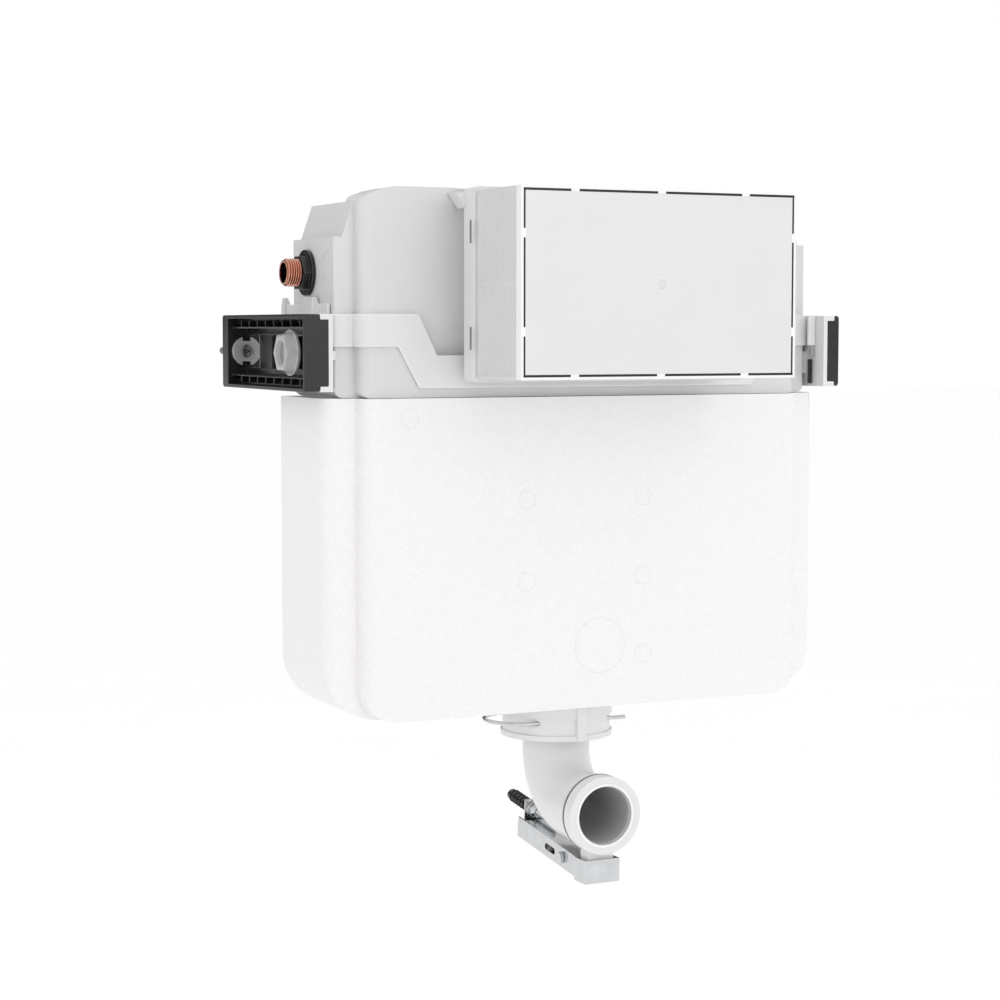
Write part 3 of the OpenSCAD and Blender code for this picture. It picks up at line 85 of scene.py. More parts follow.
# a new node material with its shader, and short ways to add and link nodes
class Finish:
    def __init__(self, name, **sockets):
        self.material = bpy.data.materials.new(name)
        self.material.use_nodes = True
        self.tree = self.material.node_tree
        self.shader = self.tree.nodes["Principled BSDF"]
        for socket, value in sockets.items():
            self.shader.inputs[socket.replace("_", " ")].default_value = value
        self.place = self.add("ShaderNodeTexCoord").outputs["Object"]

    def add(self, kind, **inputs):
        node = self.tree.nodes.new(kind)
        for socket, value in inputs.items():
            self.set(node.inputs[socket.replace("_", " ")], value)
        return node

    def set(self, socket, value):
        if isinstance(value, bpy.types.NodeSocket):
            self.tree.links.new(value, socket)
        else:
            socket.default_value = value

    def wear(self, socket, value):
        self.set(self.shader.inputs[socket], value)

    # the place's x, y and z, by letter
    def split(self, vector):
        return self.add("ShaderNodeSeparateXYZ", Vector=vector).outputs

    # noise of a size in metres
    def noise(self, size, detail=2.0):
        return self.add("ShaderNodeTexNoise", Vector=self.place, Scale=1 / size, Detail=detail).outputs["Fac"]

    # noise spread between two values
    def clouds(self, size, toLow, toHigh, detail=3.0):
        return self.spread(self.noise(size, detail), *cloudRange, toLow, toHigh)

    # distance to the border of cells of a size in metres
    def cells(self, size):
        node = self.add("ShaderNodeTexVoronoi", Vector=self.place, Scale=1 / size)
        node.feature = "DISTANCE_TO_EDGE"
        return node.outputs["Distance"]

    # a sum, a product or the like of one or two values
    def maths(self, operation, first, second=None):
        node = self.add("ShaderNodeMath")
        node.operation = operation
        self.set(node.inputs[0], first)
        if second is not None:
            self.set(node.inputs[1], second)
        return node.outputs["Value"]

    # a value spread from one range to another
    def spread(self, value, low, high, toLow, toHigh):
        node = self.add("ShaderNodeMapRange", Value=value)
        for socket, number in zip(("From Min", "From Max", "To Min", "To Max"), (low, high, toLow, toHigh)):
            node.inputs[socket].default_value = number
        return node.outputs["Result"]

    # two colours, or a mix and a colour, mixed by a value
    def tint(self, value, first, second):
        node = self.add("ShaderNodeMix")
        node.data_type = "RGBA"
        self.set(node.inputs["Factor"], value)
        for socket, colour in ((node.inputs[6], first), (node.inputs[7], second)):
            self.set(socket, colour if isinstance(colour, bpy.types.NodeSocket) else (*colour, 1.0))
        return node.outputs[2]

    # bumps of a depth in metres, over others if there are any
    def bump(self, height, depth, under=None):
        node = self.add("ShaderNodeBump", Height=height, Distance=depth, Strength=1.0)
        if under is not None:
            self.set(node.inputs["Normal"], under)
        return node.outputs["Normal"]


# plastic: sizes of the patches in its colour and gloss, how far the gloss drifts, and its fine grain
plasticSettings = {
    "ior": 1.49,
    "cloud": 40 * mm,
    "glossPatch": 6 * mm,
    "smoother": 0.04,
    "rougher": 0.05,
    "grain": 0.35 * mm,
    "depth": 0.012 * mm,
    "blackDepth": 0.002 * mm,
    "panelCloud": 0.12,
    "borderHighlightFade": 0.3 * mm,
}


def plasticSurface(finish, rough, depth):
    settings = plasticSettings
    gloss = finish.clouds(settings["glossPatch"], rough - settings["smoother"], rough + settings["rougher"])
    finish.wear("Roughness", gloss)
    finish.wear("Normal", finish.bump(finish.noise(settings["grain"]), depth))
    return finish.material


# moulded plastic: a faint cloud in its colour
def mouldedPlastic(name, light, dark, rough, depth=plasticSettings["depth"]):
    finish = Finish(name, IOR=plasticSettings["ior"])
    finish.wear("Base Color", finish.tint(finish.clouds(plasticSettings["cloud"], 0.0, 1.0), dark, light))
    return plasticSurface(finish, rough, depth)


# cover: its border outside the broken slots is a little lighter than the panel inside them, a painted
# highlight along the cover's edges
def highlightBorderedPlastic(name, panel, border, rough, line):
    settings = plasticSettings
    finish = Finish(name, IOR=settings["ior"])
    parts = finish.split(finish.place)
    middle, reach = (line["high"] + line["low"]) / 2, (line["high"] - line["low"]) / 2
    sideways = finish.maths("SUBTRACT", finish.maths("ABSOLUTE", parts["X"]), line["across"])
    fromMiddle = finish.maths("ABSOLUTE", finish.maths("SUBTRACT", parts["Z"], middle))
    upright = finish.maths("SUBTRACT", fromMiddle, reach)
    outside = finish.spread(finish.maths("MAXIMUM", sideways, upright), 0.0, settings["borderHighlightFade"], 0.0, 1.0)
    cloud = finish.clouds(settings["cloud"], 0.0, settings["panelCloud"])
    finish.wear("Base Color", finish.tint(finish.maths("MAXIMUM", outside, cloud), panel, border))
    return plasticSurface(finish, rough, settings["depth"])


# metal: sizes of the patches in its colour and gloss, how far the gloss drifts, and its fine wear
metalSettings = {
    "cloud": 9 * mm,
    "glossPatch": 2 * mm,
    "detail": 4.0,
    "smoother": 0.7,
    "rougher": 1.3,
    "grain": 0.5 * mm,
    "depth": 0.01 * mm,
}


def metal(name, light, dark, rough):
    settings = metalSettings
    finish = Finish(name, Metallic=1.0)
    cloud = finish.clouds(settings["cloud"], 0.0, 1.0, settings["detail"])
    finish.wear("Base Color", finish.tint(cloud, dark, light))
    low, high = rough * settings["smoother"], rough * settings["rougher"]
    finish.wear("Roughness", finish.clouds(settings["glossPatch"], low, high, settings["detail"]))
    finish.wear("Normal", finish.bump(finish.noise(settings["grain"]), settings["depth"]))
    return finish.material


# copper: patches in its colour and gloss, how far each drifts, its fine wear and the reach of the edges of
# its painted shade
copperSettings = {
    "cloud": 3 * mm,
    "cloudLow": 0.75,
    "glossPatch": 1.5 * mm,
    "smoother": 0.8,
    "rougher": 1.3,
    "grain": 0.4 * mm,
    "depth": 0.006 * mm,
    "crestIn": 0.1 * mm,
    "reach": 0.15 * mm,
}


# threaded copper with painted shade: the colour follows the distance from the thread's axis, painted dark in
# the bore and in the roots as shade, and light on the crests and the rim
def threadedCopperPaintedShade(name, light, dark, paintedBoreShade, rough, thread):
    settings = copperSettings
    finish = Finish(name, Metallic=1.0)
    parts = finish.split(finish.place)
    across = finish.maths("SUBTRACT", parts["Y"], thread["axis"][1])
    up = finish.maths("SUBTRACT", parts["Z"], thread["axis"][2])
    squares = finish.maths("ADD", finish.maths("POWER", across, 2.0), finish.maths("POWER", up, 2.0))
    away = finish.maths("SQRT", squares)
    # painted shade: darker from the crest down to the root
    crest = finish.spread(away, thread["root"], thread["crest"] - settings["crestIn"], 0.0, 1.0)
    rim = finish.maths("LESS_THAN", parts["X"], settings["reach"] - thread["tip"])
    shade = finish.maths("MAXIMUM", crest, rim)
    cloud = finish.clouds(settings["cloud"], settings["cloudLow"], 1.0)
    wall = finish.tint(finish.maths("MULTIPLY", shade, cloud), dark, light)
    # painted shade: the bore is coloured almost black
    boreShadeMask = finish.maths("LESS_THAN", away, thread["bore"] + settings["reach"])
    finish.wear("Base Color", finish.tint(boreShadeMask, wall, paintedBoreShade))
    low, high = rough * settings["smoother"], rough * settings["rougher"]
    finish.wear("Roughness", finish.clouds(settings["glossPatch"], low, high))
    finish.wear("Normal", finish.bump(finish.noise(settings["grain"]), settings["depth"]))
    return finish.material


# foam: size of its beads and depths of its bumps, and on the front the faint round marks of the mould's
# vents and one larger ring, as (x, z) in millimetres
foamSettings = {
    "rough": 0.8,
    "ior": 1.3,
    "bead": 3.2 * mm,
    "grooveShare": 0.2,
    "cloud": 5 * mm,
    "cloudRange": (0.35, 0.65),
    "cloudLow": 0.35,
    "beadDepth": 0.07 * mm,
    "grain": 1.2 * mm,
    "grainDepth": 0.04 * mm,
    "front": -190.0 * mm,
    "vent": 7.0 * mm,
    "vents": ((-151.4, -47.7), (-55.4, -111.2), (44.4, -111.2),
              (-55.4, -172.8), (45.2, -172.8), (45.2, -234.0)),
    "ring": 21.5 * mm,
    "ringPlace": (7.4, -225.3),
    "line": 0.7 * mm,
    "lineDepth": 0.25 * mm,
}


# round lines on the foam's front: each is 1 on its circle and falls to 0 over the line's width
def foamMarks(finish, settings):
    parts = finish.split(finish.place)
    flat = finish.add("ShaderNodeCombineXYZ", X=parts["X"], Z=parts["Z"]).outputs["Vector"]
    circles = [(place, settings["vent"]) for place in settings["vents"]]
    circles.append((settings["ringPlace"], settings["ring"]))
    marks = None
    for (x, z), radius in circles:
        away = finish.add("ShaderNodeVectorMath")
        away.operation = "DISTANCE"
        finish.set(away.inputs[0], flat)
        away.inputs[1].default_value = (x * mm, 0.0, z * mm)
        offLine = finish.maths("ABSOLUTE", finish.maths("SUBTRACT", away.outputs["Value"], radius))
        line = finish.spread(offLine, 0.0, settings["line"], 1.0, 0.0)
        marks = line if marks is None else finish.maths("MAXIMUM", marks, line)
    front = finish.maths("LESS_THAN", parts["Y"], settings["front"])
    return finish.maths("MULTIPLY", marks, front)


# expanded foam: pressed beads, each a soft cell with a shallow groove round it
def beadedFoam(name, light, dark, settings):
    finish = Finish(name, Roughness=settings["rough"], IOR=settings["ior"])
    groove = finish.spread(finish.cells(settings["bead"]), 0.0, settings["grooveShare"], 0.0, 1.0)
    cloud = finish.noise(settings["cloud"], 3.0)
    shade = finish.spread(cloud, *settings["cloudRange"], settings["cloudLow"], 1.0)
    finish.wear("Base Color", finish.tint(finish.maths("MULTIPLY", groove, shade), dark, light))
    sunk = finish.maths("MULTIPLY", foamMarks(finish, settings), -1.0)
    marks = finish.bump(sunk, settings["lineDepth"])
    beads = finish.bump(groove, settings["beadDepth"], marks)
    finish.wear("Normal", finish.bump(finish.noise(settings["grain"]), settings["grainDepth"], beads))
    return finish.material


# braid: how many strands cross along the hose and round it
braidSettings = {"along": 46, "round": 10, "patch": 1 * mm, "gloss": (0.25, 0.4), "depth": 0.3 * mm}


# hose: two sets of wires that cross, |sin(along + about)| and |sin(along - about)|, from the tube's UV map
def wireBraid(name, light, dark, settings):
    finish = Finish(name, Metallic=1.0)
    parts = finish.split(finish.add("ShaderNodeTexCoord").outputs["UV"])
    along = finish.maths("MULTIPLY", parts["X"], settings["along"] * np.pi)
    about = finish.maths("MULTIPLY", parts["Y"], settings["round"] * np.pi)
    first = finish.maths("ABSOLUTE", finish.maths("SINE", finish.maths("ADD", along, about)))
    second = finish.maths("ABSOLUTE", finish.maths("SINE", finish.maths("SUBTRACT", along, about)))
    strands = finish.maths("MAXIMUM", first, second)
    finish.wear("Base Color", finish.tint(strands, dark, light))
    finish.wear("Roughness", finish.clouds(settings["patch"], *settings["gloss"], 2.0))
    finish.wear("Normal", finish.bump(strands, settings["depth"]))
    return finish.material


# half-inch nipple: bore, rim (kept light by the copper's painted shade), lead chamfer and a helical thread
# down to the nut
nippleSettings = {
    "axis": (0.0, -120.0 * mm, 59.5 * mm),
    "inner": 173.0 * mm,
    "threadEnd": 211.2 * mm,
    "tip": 222.9 * mm,
    "bore": 7.5 * mm,
    "crest": 10.4775 * mm,
    "root": 9.3155 * mm,
    "pitch": 1.814 * mm,
    "rim": 8.9 * mm,
    "rimEase": 0.4 * mm,
    "leadIn": 0.15 * mm,
    "coneSlope": 0.75,
    "rowsPerTurn": 12,
    "columns": 96,
}

# broken slots of the cover: places of the dark bars of painted shade in them and of the bridges between them
coverLow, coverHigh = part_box("front_cover")
lineInset = 2.8 * mm
coverLineSettings = {
    "across": coverHigh[0] - lineInset,
    "low": coverLow[2] + lineInset,
    "high": coverHigh[2] - lineInset,
    "face": coverLow[1],
    "proud": 0.04 * mm,
    "deep": 2.6 * mm,
    "level": 1.75 * mm,
    "upright": 1.35 * mm,
    "uprightIn": 0.01 * mm,
    "slot": 1.26 * mm,
    "bridgeIn": 0.03 * mm,
    "gap": 6.5 * mm,
    "gapsAcross": (-70.5 * mm, -0.7 * mm, 69.4 * mm),
    "gapsUp": (15.5 * mm, 84.4 * mm),
    "ease": 0.05 * mm,
}

# copper: its own light colour, painted shade for the thread's roots, and darker painted shade for the bore
copperPaintedShades = (0.90, 0.50, 0.38), (0.30, 0.10, 0.06), (0.05, 0.008, 0.006)
finishes = {
    "tank_plastic": mouldedPlastic("tankPlastic", (0.71, 0.71, 0.713), (0.69, 0.69, 0.693), 0.34),
    "foam": beadedFoam("foam", (0.915, 0.902, 0.908), (0.88, 0.867, 0.873), foamSettings),
    "white_plastic": mouldedPlastic("whitePlastic", (0.775, 0.775, 0.775), (0.755, 0.755, 0.755), 0.34),
    "black_plastic": mouldedPlastic("blackPlastic", (0.014, 0.014, 0.015), (0.009, 0.009, 0.010), 0.22,
                                    plasticSettings["blackDepth"]),
    "grey_plastic": mouldedPlastic("greyPlastic", (0.38, 0.385, 0.39), (0.35, 0.355, 0.36), 0.32),
    "blue_plastic": mouldedPlastic("bluePlastic", (0.03, 0.13, 0.40), (0.025, 0.11, 0.36), 0.32),
    "copper_alloy": threadedCopperPaintedShade("copperAlloy", *copperPaintedShades, 0.14, nippleSettings),
    "brass": metal("brass", (0.80, 0.62, 0.30), (0.72, 0.54, 0.25), 0.25),
    "zinc_steel": metal("zincSteel", (0.66, 0.67, 0.68), (0.58, 0.59, 0.60), 0.16),
    "braided_hose": wireBraid("wireBraid", (0.72, 0.72, 0.73), (0.20, 0.20, 0.21), braidSettings),
    "rubber": mouldedPlastic("rubber", (0.10, 0.102, 0.105), (0.08, 0.082, 0.085), 0.55),
}

# other shades on the same slots: the lighter nuts and darker screw heads in their own colours; a grey bore
# lining, a darker shaft and dark slits as painted shade; and a cover with a painted highlight on its border
variants = {
    "nut": mouldedPlastic("nutPlastic", (0.50, 0.50, 0.50), (0.45, 0.45, 0.45), 0.28),
    "screwHead": metal("darkZinc", (0.26, 0.26, 0.27), (0.20, 0.20, 0.21), 0.3),
    # painted shade: mid grey for the shade deep in the bend's bore
    "bore": mouldedPlastic("boreShadeGrey", (0.53, 0.53, 0.53), (0.49, 0.49, 0.49), 0.4),
    # painted shade: the shaft is a little darker than the white plastic, for the shade on its sides and
    # between its ridges
    "shaft": mouldedPlastic("shaftPaintedShade", (0.68, 0.68, 0.68), (0.66, 0.66, 0.66), 0.34),
    # painted shade: dark grey for the shade in slits and behind the socket's rim
    "slit": mouldedPlastic("slitShade", (0.22, 0.22, 0.22), (0.18, 0.18, 0.18), 0.6),
    "cover": highlightBorderedPlastic("coverBorderHighlight", (0.74, 0.74, 0.74), (0.90, 0.90, 0.90), 0.34, coverLineSettings),
}

# painted highlight: rounded edges catch more light, so the bevels get a lighter shade of their slot's colour
edgeHighlights = {
    "tank_plastic": mouldedPlastic("tankEdgeHighlight", (0.90, 0.90, 0.90), (0.86, 0.86, 0.86), 0.3),
    "white_plastic": mouldedPlastic("whiteEdgeHighlight", (0.93, 0.93, 0.93), (0.90, 0.90, 0.90), 0.3),
    "black_plastic": mouldedPlastic("blackEdgeHighlight", (0.05, 0.05, 0.052), (0.035, 0.035, 0.037), 0.22),
    "grey_plastic": mouldedPlastic("greyEdgeHighlight", (0.60, 0.60, 0.60), (0.55, 0.55, 0.55), 0.3),
}

for name, node in nodes.items():
    node.data.materials.clear()
    node.data.materials.append(finishes[slotOf[name]])
print("finishes given to", len(nodes), "nodes")


# gives a new piece its body, and hides the CAD node that it stands for
def carry(piece, body, replaced=None):
    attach(piece, body)
    if replaced is not None:
        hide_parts(replaced)


# keeps large faces flat in the shading beside small rounded ones, at full weight
def evenShading(piece):
    flatten = piece.modifiers.new("evenShading", "WEIGHTED_NORMAL")
    flatten.weight = 100


# four corners of each quad between neighbouring rows and columns of a grid, with its UV corners as shares
def gridQuads(rows, columns, first, closedProfile):
    ids = np.arange(rows * columns).reshape(rows, columns) + first
    low = ids if closedProfile else ids[:-1]
    high = np.roll(ids, -1, 0) if closedProfile else ids[1:]
    quads = np.stack([low, high, np.roll(high, -1, 1), np.roll(low, -1, 1)], -1).reshape(-1, 4)
    row, column = np.meshgrid(np.arange(len(low)), np.arange(columns), indexing="ij")
    corners = np.stack([row, column, row + 1, column, row + 1, column + 1, row, column + 1], -1)
    caps = [] if closedProfile else [ids[0].tolist(), ids[-1][::-1].tolist()]
    return quads.tolist(), caps, corners.reshape(-1, 2) / (rows, columns)


# piece from one or more grids of points: columns run round, and the rows run round too or end in flat caps
def gridPiece(name, grids, replaced, like=None, closedProfile=False, slot=None, finish=None, even=False):
    node = like or replaced
    slot = slot or slotOf[node]
    faces, shares, first = [], [], 0
    for grid in grids:
        rows, columns = grid.shape[:2]
        quads, caps, corners = gridQuads(rows, columns, first, closedProfile)
        faces += quads + caps
        shares += [corners, np.zeros((len(caps) * columns, 2))]
        first += rows * columns
    data = bpy.data.meshes.new(name)
    data.from_pydata(np.concatenate([grid.reshape(-1, 3) for grid in grids]).tolist(), [], faces)
    layer = data.uv_layers.new(name="UVMap")
    layer.data.foreach_set("uv", np.concatenate(shares).astype(np.float32).ravel())
    shape = bmesh.new()
    shape.from_mesh(data)
    bmesh.ops.recalc_face_normals(shape, faces=shape.faces)
    for face in shape.faces:
        face.smooth = len(face.verts) == 4
    shape.to_mesh(data)
    shape.free()
    data.materials.append(finish or finishes[slot])
    piece = bpy.data.objects.new(name, data)
    scene.collection.objects.link(piece)
    if even:
        evenShading(piece)
    carry(piece, bodyOf[node], replaced)


def roundAngles(count):
    return np.arange(count) * 2 * np.pi / count


# hexagon as a share of its corner's radius: cos(30) / cos(angle from the nearest flat's middle)
def hexagonShare(angle):
    return np.cos(np.pi / 6) / np.cos(angle % (np.pi / 3) - np.pi / 6)


crestShare = 0.1  # of a thread's rise, cut off flat at the crest and at the root


# thread's rise, 0 at the root and 1 at the crest: a triangle wave of along / pitch - angle / turn, cut flat
def threadWave(along, angle, pitch):
    phase = along / pitch - angle / (2 * np.pi)
    wave = 1 - np.abs(2 * (phase - np.floor(phase)) - 1)
    return np.clip((wave - crestShare) / (1 - 2 * crestShare), 0, 1)


# joins stretches of rows: each is a list of (along, radius), or two arrays of which the radius also varies
# with the angle
def joinRows(columns, *stretches):
    wide = np.ones((1, columns))
    along, radii = [], []
    for stretch in stretches:
        if isinstance(stretch, list):
            rows = np.array(stretch)
            stretch = rows[:, :1], rows[:, 1:]
        along.append(stretch[0] * wide)
        radii.append(stretch[1] * wide)
    return np.concatenate(along), np.concatenate(radii)


# point = start + direction * along + radius * (cos(angle) * side + sin(angle) * other side)
def carriedRound(along, radius, angle, start, direction):
    direction = np.array(direction) / np.linalg.norm(direction)
    side = np.cross(direction, (0.0, 0.0, 1.0))
    side = side / np.linalg.norm(side)
    other = np.cross(side, direction)
    along = np.broadcast_to(along, radius.shape)
    ring = np.cos(angle)[:, None] * side + np.sin(angle)[:, None] * other
    return np.array(start) + along[..., None] * direction + radius[..., None] * ring


# turned piece: a list of (along, radius), the same all round
def turned(profile, columns, start, direction):
    along, radii = joinRows(columns, list(profile))
    return carriedRound(along, radii, roundAngles(columns), start, direction)


# direction at each point of a route
def routeTangent(route):
    tangent = np.gradient(route, axis=0)
    return tangent / np.linalg.norm(tangent, axis=1)[:, None]


# unit circles across a flat route: cos(angle) * across + sin(angle) * the plane's normal
def routeRings(tangent, normal, columns):
    across = np.cross(tangent, normal)
    angle = roundAngles(columns)
    return np.cos(angle)[None, :, None] * across[:, None] + np.sin(angle)[None, :, None] * np.array(normal)


# rounded ends of a tube: rows in each, how near the round comes to closing, and how far it stands out
endSettings = {"rows": 6, "closeShare": 0.94, "outShare": 0.5}


# tube along a flat route: point = route + radius * ring, with a flattened dome at each end
def tubeAlong(route, radius, normal, columns):
    count = endSettings["rows"]
    tangent = routeTangent(route)
    lift = np.linspace(np.pi / 2, 0, count)[:, None] * endSettings["closeShare"]
    out = radius * np.sin(lift) * endSettings["outShare"]
    path = np.concatenate([route[0] - tangent[0] * out, route[1:-1], route[-1] + tangent[-1] * out[::-1]])
    first, last = np.repeat(tangent[:1], count, 0), np.repeat(tangent[-1:], count, 0)
    tangent = np.concatenate([first, tangent[1:-1], last])
    size = np.concatenate([np.cos(lift[:, 0]), np.ones(len(route) - 2), np.cos(lift[::-1, 0])]) * radius
    return path[:, None] + size[:, None, None] * routeRings(tangent, normal, columns)


# open lining along a flat route: point = route + radius * ring, out along the outer radius and back along
# the inner one, so the profile closes on itself
def liningAlong(route, outer, inner, normal, columns):
    ring = routeRings(routeTangent(route), normal, columns)
    return np.concatenate([route[:, None] + outer * ring, (route[:, None] + inner * ring)[::-1]])


ballSettings = {"rows": 8, "columns": 16, "pole": 0.02}


# box with rounded edges: point = centre + (half size - ease) * sign(direction) + ease * direction, with the
# direction running over a sphere
def easedBox(low, high, ease):
    low, high = np.array(low), np.array(high)
    top = np.pi / 2 - ballSettings["pole"]
    latitude = np.linspace(-top, top, ballSettings["rows"])[:, None]
    angle = roundAngles(ballSettings["columns"]) + np.pi / ballSettings["columns"]
    ball = np.stack([np.cos(latitude) * np.cos(angle), np.cos(latitude) * np.sin(angle),
                     np.sin(latitude) * np.ones_like(angle)], -1)
    return (low + high) / 2 + ((high - low) / 2 - ease) * np.sign(ball) + ease * ball


# easing: merging distance, angles in degrees under which faces join and edges stay, and steps of a bevel
easingSettings = {"merge": 0.002 * mm, "joint": 0.6, "segments": 2, "sharp": 28}


# takes away what stands in front of a depth and closes the cut
def drawBack(shape, front):
    everything = shape.verts[:] + shape.edges[:] + shape.faces[:]
    bmesh.ops.bisect_plane(shape, geom=everything, plane_co=(0, front, 0), plane_no=(0, -1, 0),
                           clear_outer=True)
    bmesh.ops.holes_fill(shape, edges=[edge for edge in shape.edges if edge.is_boundary])
    bmesh.ops.recalc_face_normals(shape, faces=shape.faces)


# copy of a CAD node with its edges eased: merged, flat faces joined, then a bevel on every sharp edge,
# painted in its slot's lighter highlight colour where there is one
def easedCopy(name, width, front=None):
    data = nodes[name].data.copy()
    shape = bmesh.new()
    shape.from_mesh(data)
    bmesh.ops.remove_doubles(shape, verts=shape.verts, dist=easingSettings["merge"])
    bmesh.ops.dissolve_limit(shape, angle_limit=radians(easingSettings["joint"]), verts=shape.verts,
                             edges=shape.edges)
    if front is not None:
        drawBack(shape, front)
    for face in shape.faces:
        face.smooth = True
    shape.to_mesh(data)
    shape.free()
    piece = bpy.data.objects.new(name + "_eased", data)
    scene.collection.objects.link(piece)
    bevel = piece.modifiers.new("easedEdges", "BEVEL")
    bevel.width = width
    bevel.segments = easingSettings["segments"]
    bevel.limit_method = "ANGLE"
    bevel.angle_limit = radians(easingSettings["sharp"])
    # painted highlight: the bevels take the lighter colour
    if slotOf[name] in edgeHighlights:
        data.materials.append(edgeHighlights[slotOf[name]])
        bevel.material = 1
    evenShading(piece)
    carry(piece, bodyOf[name], name)
    return piece


# edge radius of each moulded or pressed piece, in millimetres
easedEdges = {
    "tank_shell": 1.2, "foam_jacket": 2.2, "tank_strap": 0.5, "guide_left": 0.4,
    "bracket_left": 0.35, "bracket_right": 0.35, "clamp_bush_left": 0.3, "clamp_bush_right": 0.3,
    "wall_washer_left": 0.3, "wall_washer_right": 0.3, "shaft_frame": 0.7, "front_cover": 0.35,
    "outlet_collar": 0.6, "inlet_nut": 0.5, "flush_bend": 0.7, "bend_bracket": 0.5, "bend_wall_plug": 0.25,
    "bend_clamp_screw": 0.3, "stop_valve": 0.5, "stop_valve_handle": 0.8, "hose_nuts": 0.5,
    "fill_valve_body": 0.6, "fill_valve_cap": 0.8, "fill_valve_lever": 0.3, "fill_valve_float": 0.6,
    "fill_valve_holder": 0.4, "flush_basket": 0.4, "flush_tube": 0.4, "half_flush_sleeve": 0.5,
    "lever_bridge": 0.4, "rocker_full": 0.4, "rocker_half": 0.4,
}
rightGuideFront = -195.9 * mm  # the right guide ends further back than its node does
eased = {name: easedCopy(name, width * mm) for name, width in easedEdges.items()}
eased["guide_right"] = easedCopy("guide_right", easedEdges["guide_left"] * mm, rightGuideFront)
# the cover's finish paints a lighter highlight on its border
eased["front_cover"].data.materials[0] = variants["cover"]
print("edges eased on", len(eased), "pieces")

cornerShare = 0.3  # of a rounded corner's radius, where its middle lies


# radius = root + (crest - root) * wave, and never more than a cone from the rim; rows run from the bore
# over the rim and back along the outside, so the profile closes on itself
def makeNipple(settings):
    angle = roundAngles(settings["columns"])
    tip, crest, root, rim = settings["tip"], settings["crest"], settings["root"], settings["rim"]
    inner, bore, ease = settings["inner"], settings["bore"], settings["rimEase"]
    threadEnd, pitch = settings["threadEnd"], settings["pitch"]
    count = int((tip - threadEnd) / pitch * settings["rowsPerTurn"])
    thread = np.linspace(tip - settings["leadIn"], threadEnd, count)[:, None]
    radius = root + (crest - root) * threadWave(thread, angle, pitch)
    radius = np.minimum(radius, rim + (tip - thread) * settings["coneSlope"])
    soft = cornerShare * ease
    mouth = [(inner, bore), (tip - ease, bore), (tip - soft, bore + soft), (tip, bore + ease),
             (tip, rim - ease)]
    along, radii = joinRows(len(angle), mouth, (thread, radius), [(threadEnd, root), (inner, root)])
    points = carriedRound(along, radii, angle, settings["axis"], (-1.0, 0.0, 0.0))
    gridPiece("inletThread", [points], "inlet_nipple", closedProfile=True)


makeNipple(nippleSettings)

# wall screws: pan head with a cross recess, plain neck through the bracket, coarse thread and a point
wallScrewSettings = {
    "sunk": 2.2 * mm,
    "head": 5.0 * mm,
    "headThick": 1.8 * mm,
    "headEdge": ((0.15 * mm, 0.1 * mm), (0.5 * mm, 0.0)),
    "dome": 0.4 * mm,
    "faceFrom": 0.02 * mm,
    "faceIn": 0.5 * mm,
    "faceRows": 30,
    "crossHalf": 0.4 * mm,
    "crossReach": 3.2 * mm,
    "crossDepth": 1.2 * mm,
    "crossSoft": 0.25 * mm,
    "neck": 3.2 * mm,
    "neckEnd": 17.1 * mm,
    "crest": 3.0 * mm,
    "root": 2.15 * mm,
    "pitch": 2.6 * mm,
    "rowsPerTurn": 10,
    "point": 3.0 * mm,
    "pointEnd": 1.8 * mm,
    "columns": 48,
}


# a bar of the cross: 1 inside its half width and reach, falling to 0 over the soft edge
def crossBar(across, along, settings):
    soft = settings["crossSoft"]
    narrow = np.clip((settings["crossHalf"] + soft - across) / soft, 0, 1)
    return narrow * np.clip((settings["crossReach"] + soft - along) / soft, 0, 1)


# head: depth = dome * (r / head)^2, plus the recess where x and z lie in one of two crossed bars;
# thread as on the nipple, under a cone at the point
def makeWallScrew(side, settings):
    node = "wall_screw_" + side
    low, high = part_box(node)
    start = ((low[0] + high[0]) / 2, low[1] + settings["sunk"], (low[2] + high[2]) / 2)
    length = high[1] - low[1] - settings["sunk"]
    angle = roundAngles(settings["columns"])
    head, dome, thick = settings["head"], settings["dome"], settings["headThick"]
    neck, neckEnd = settings["neck"], settings["neckEnd"]
    spread = np.linspace(settings["faceFrom"], head - settings["faceIn"], settings["faceRows"])[:, None]
    spread = spread * np.ones((1, len(angle)))
    across, up = np.abs(spread * np.cos(angle)), np.abs(spread * np.sin(angle))
    cross = np.maximum(crossBar(across, up, settings), crossBar(up, across, settings))
    face = dome * (spread / head) ** 2 + settings["crossDepth"] * cross
    thread = np.arange(neckEnd, length, settings["pitch"] / settings["rowsPerTurn"])[:, None]
    rise = (settings["crest"] - settings["root"]) * threadWave(thread, angle, settings["pitch"])
    widening = (settings["crest"] - settings["pointEnd"]) / settings["point"]
    cone = settings["pointEnd"] + (length - thread) * widening
    threaded = np.minimum(settings["root"] + rise, cone)
    edge = [(dome + back, head - inward) for back, inward in settings["headEdge"]]
    middle = [*edge, (thick, head), (thick, neck), (neckEnd, neck)]
    along, radii = joinRows(len(angle), (face, spread), middle, (thread, threaded))
    points = carriedRound(along, radii, angle, start, (0.0, 1.0, 0.0))
    gridPiece("wallScrew_" + side, [points], node, finish=variants["screwHead"])


for side in ("left", "right"):
    makeWallScrew(side, wallScrewSettings)

# clamp nuts: a black neck, a round flange, then a hexagon that narrows to a rim round a recess
nutSettings = {
    "flange": 17.5 * mm,
    "flangeThick": 2.6 * mm,
    "neck": 12.4 * mm,
    "neckLong": 6.4 * mm,
    "neckIn": 1.0 * mm,
    "hexBack": 16.8 * mm,
    "hexFront": 14.8 * mm,
    "ease": 0.5 * mm,
    "recess": 9.4 * mm,
    "recessDeep": 5.0 * mm,
    "columns": 72,
}


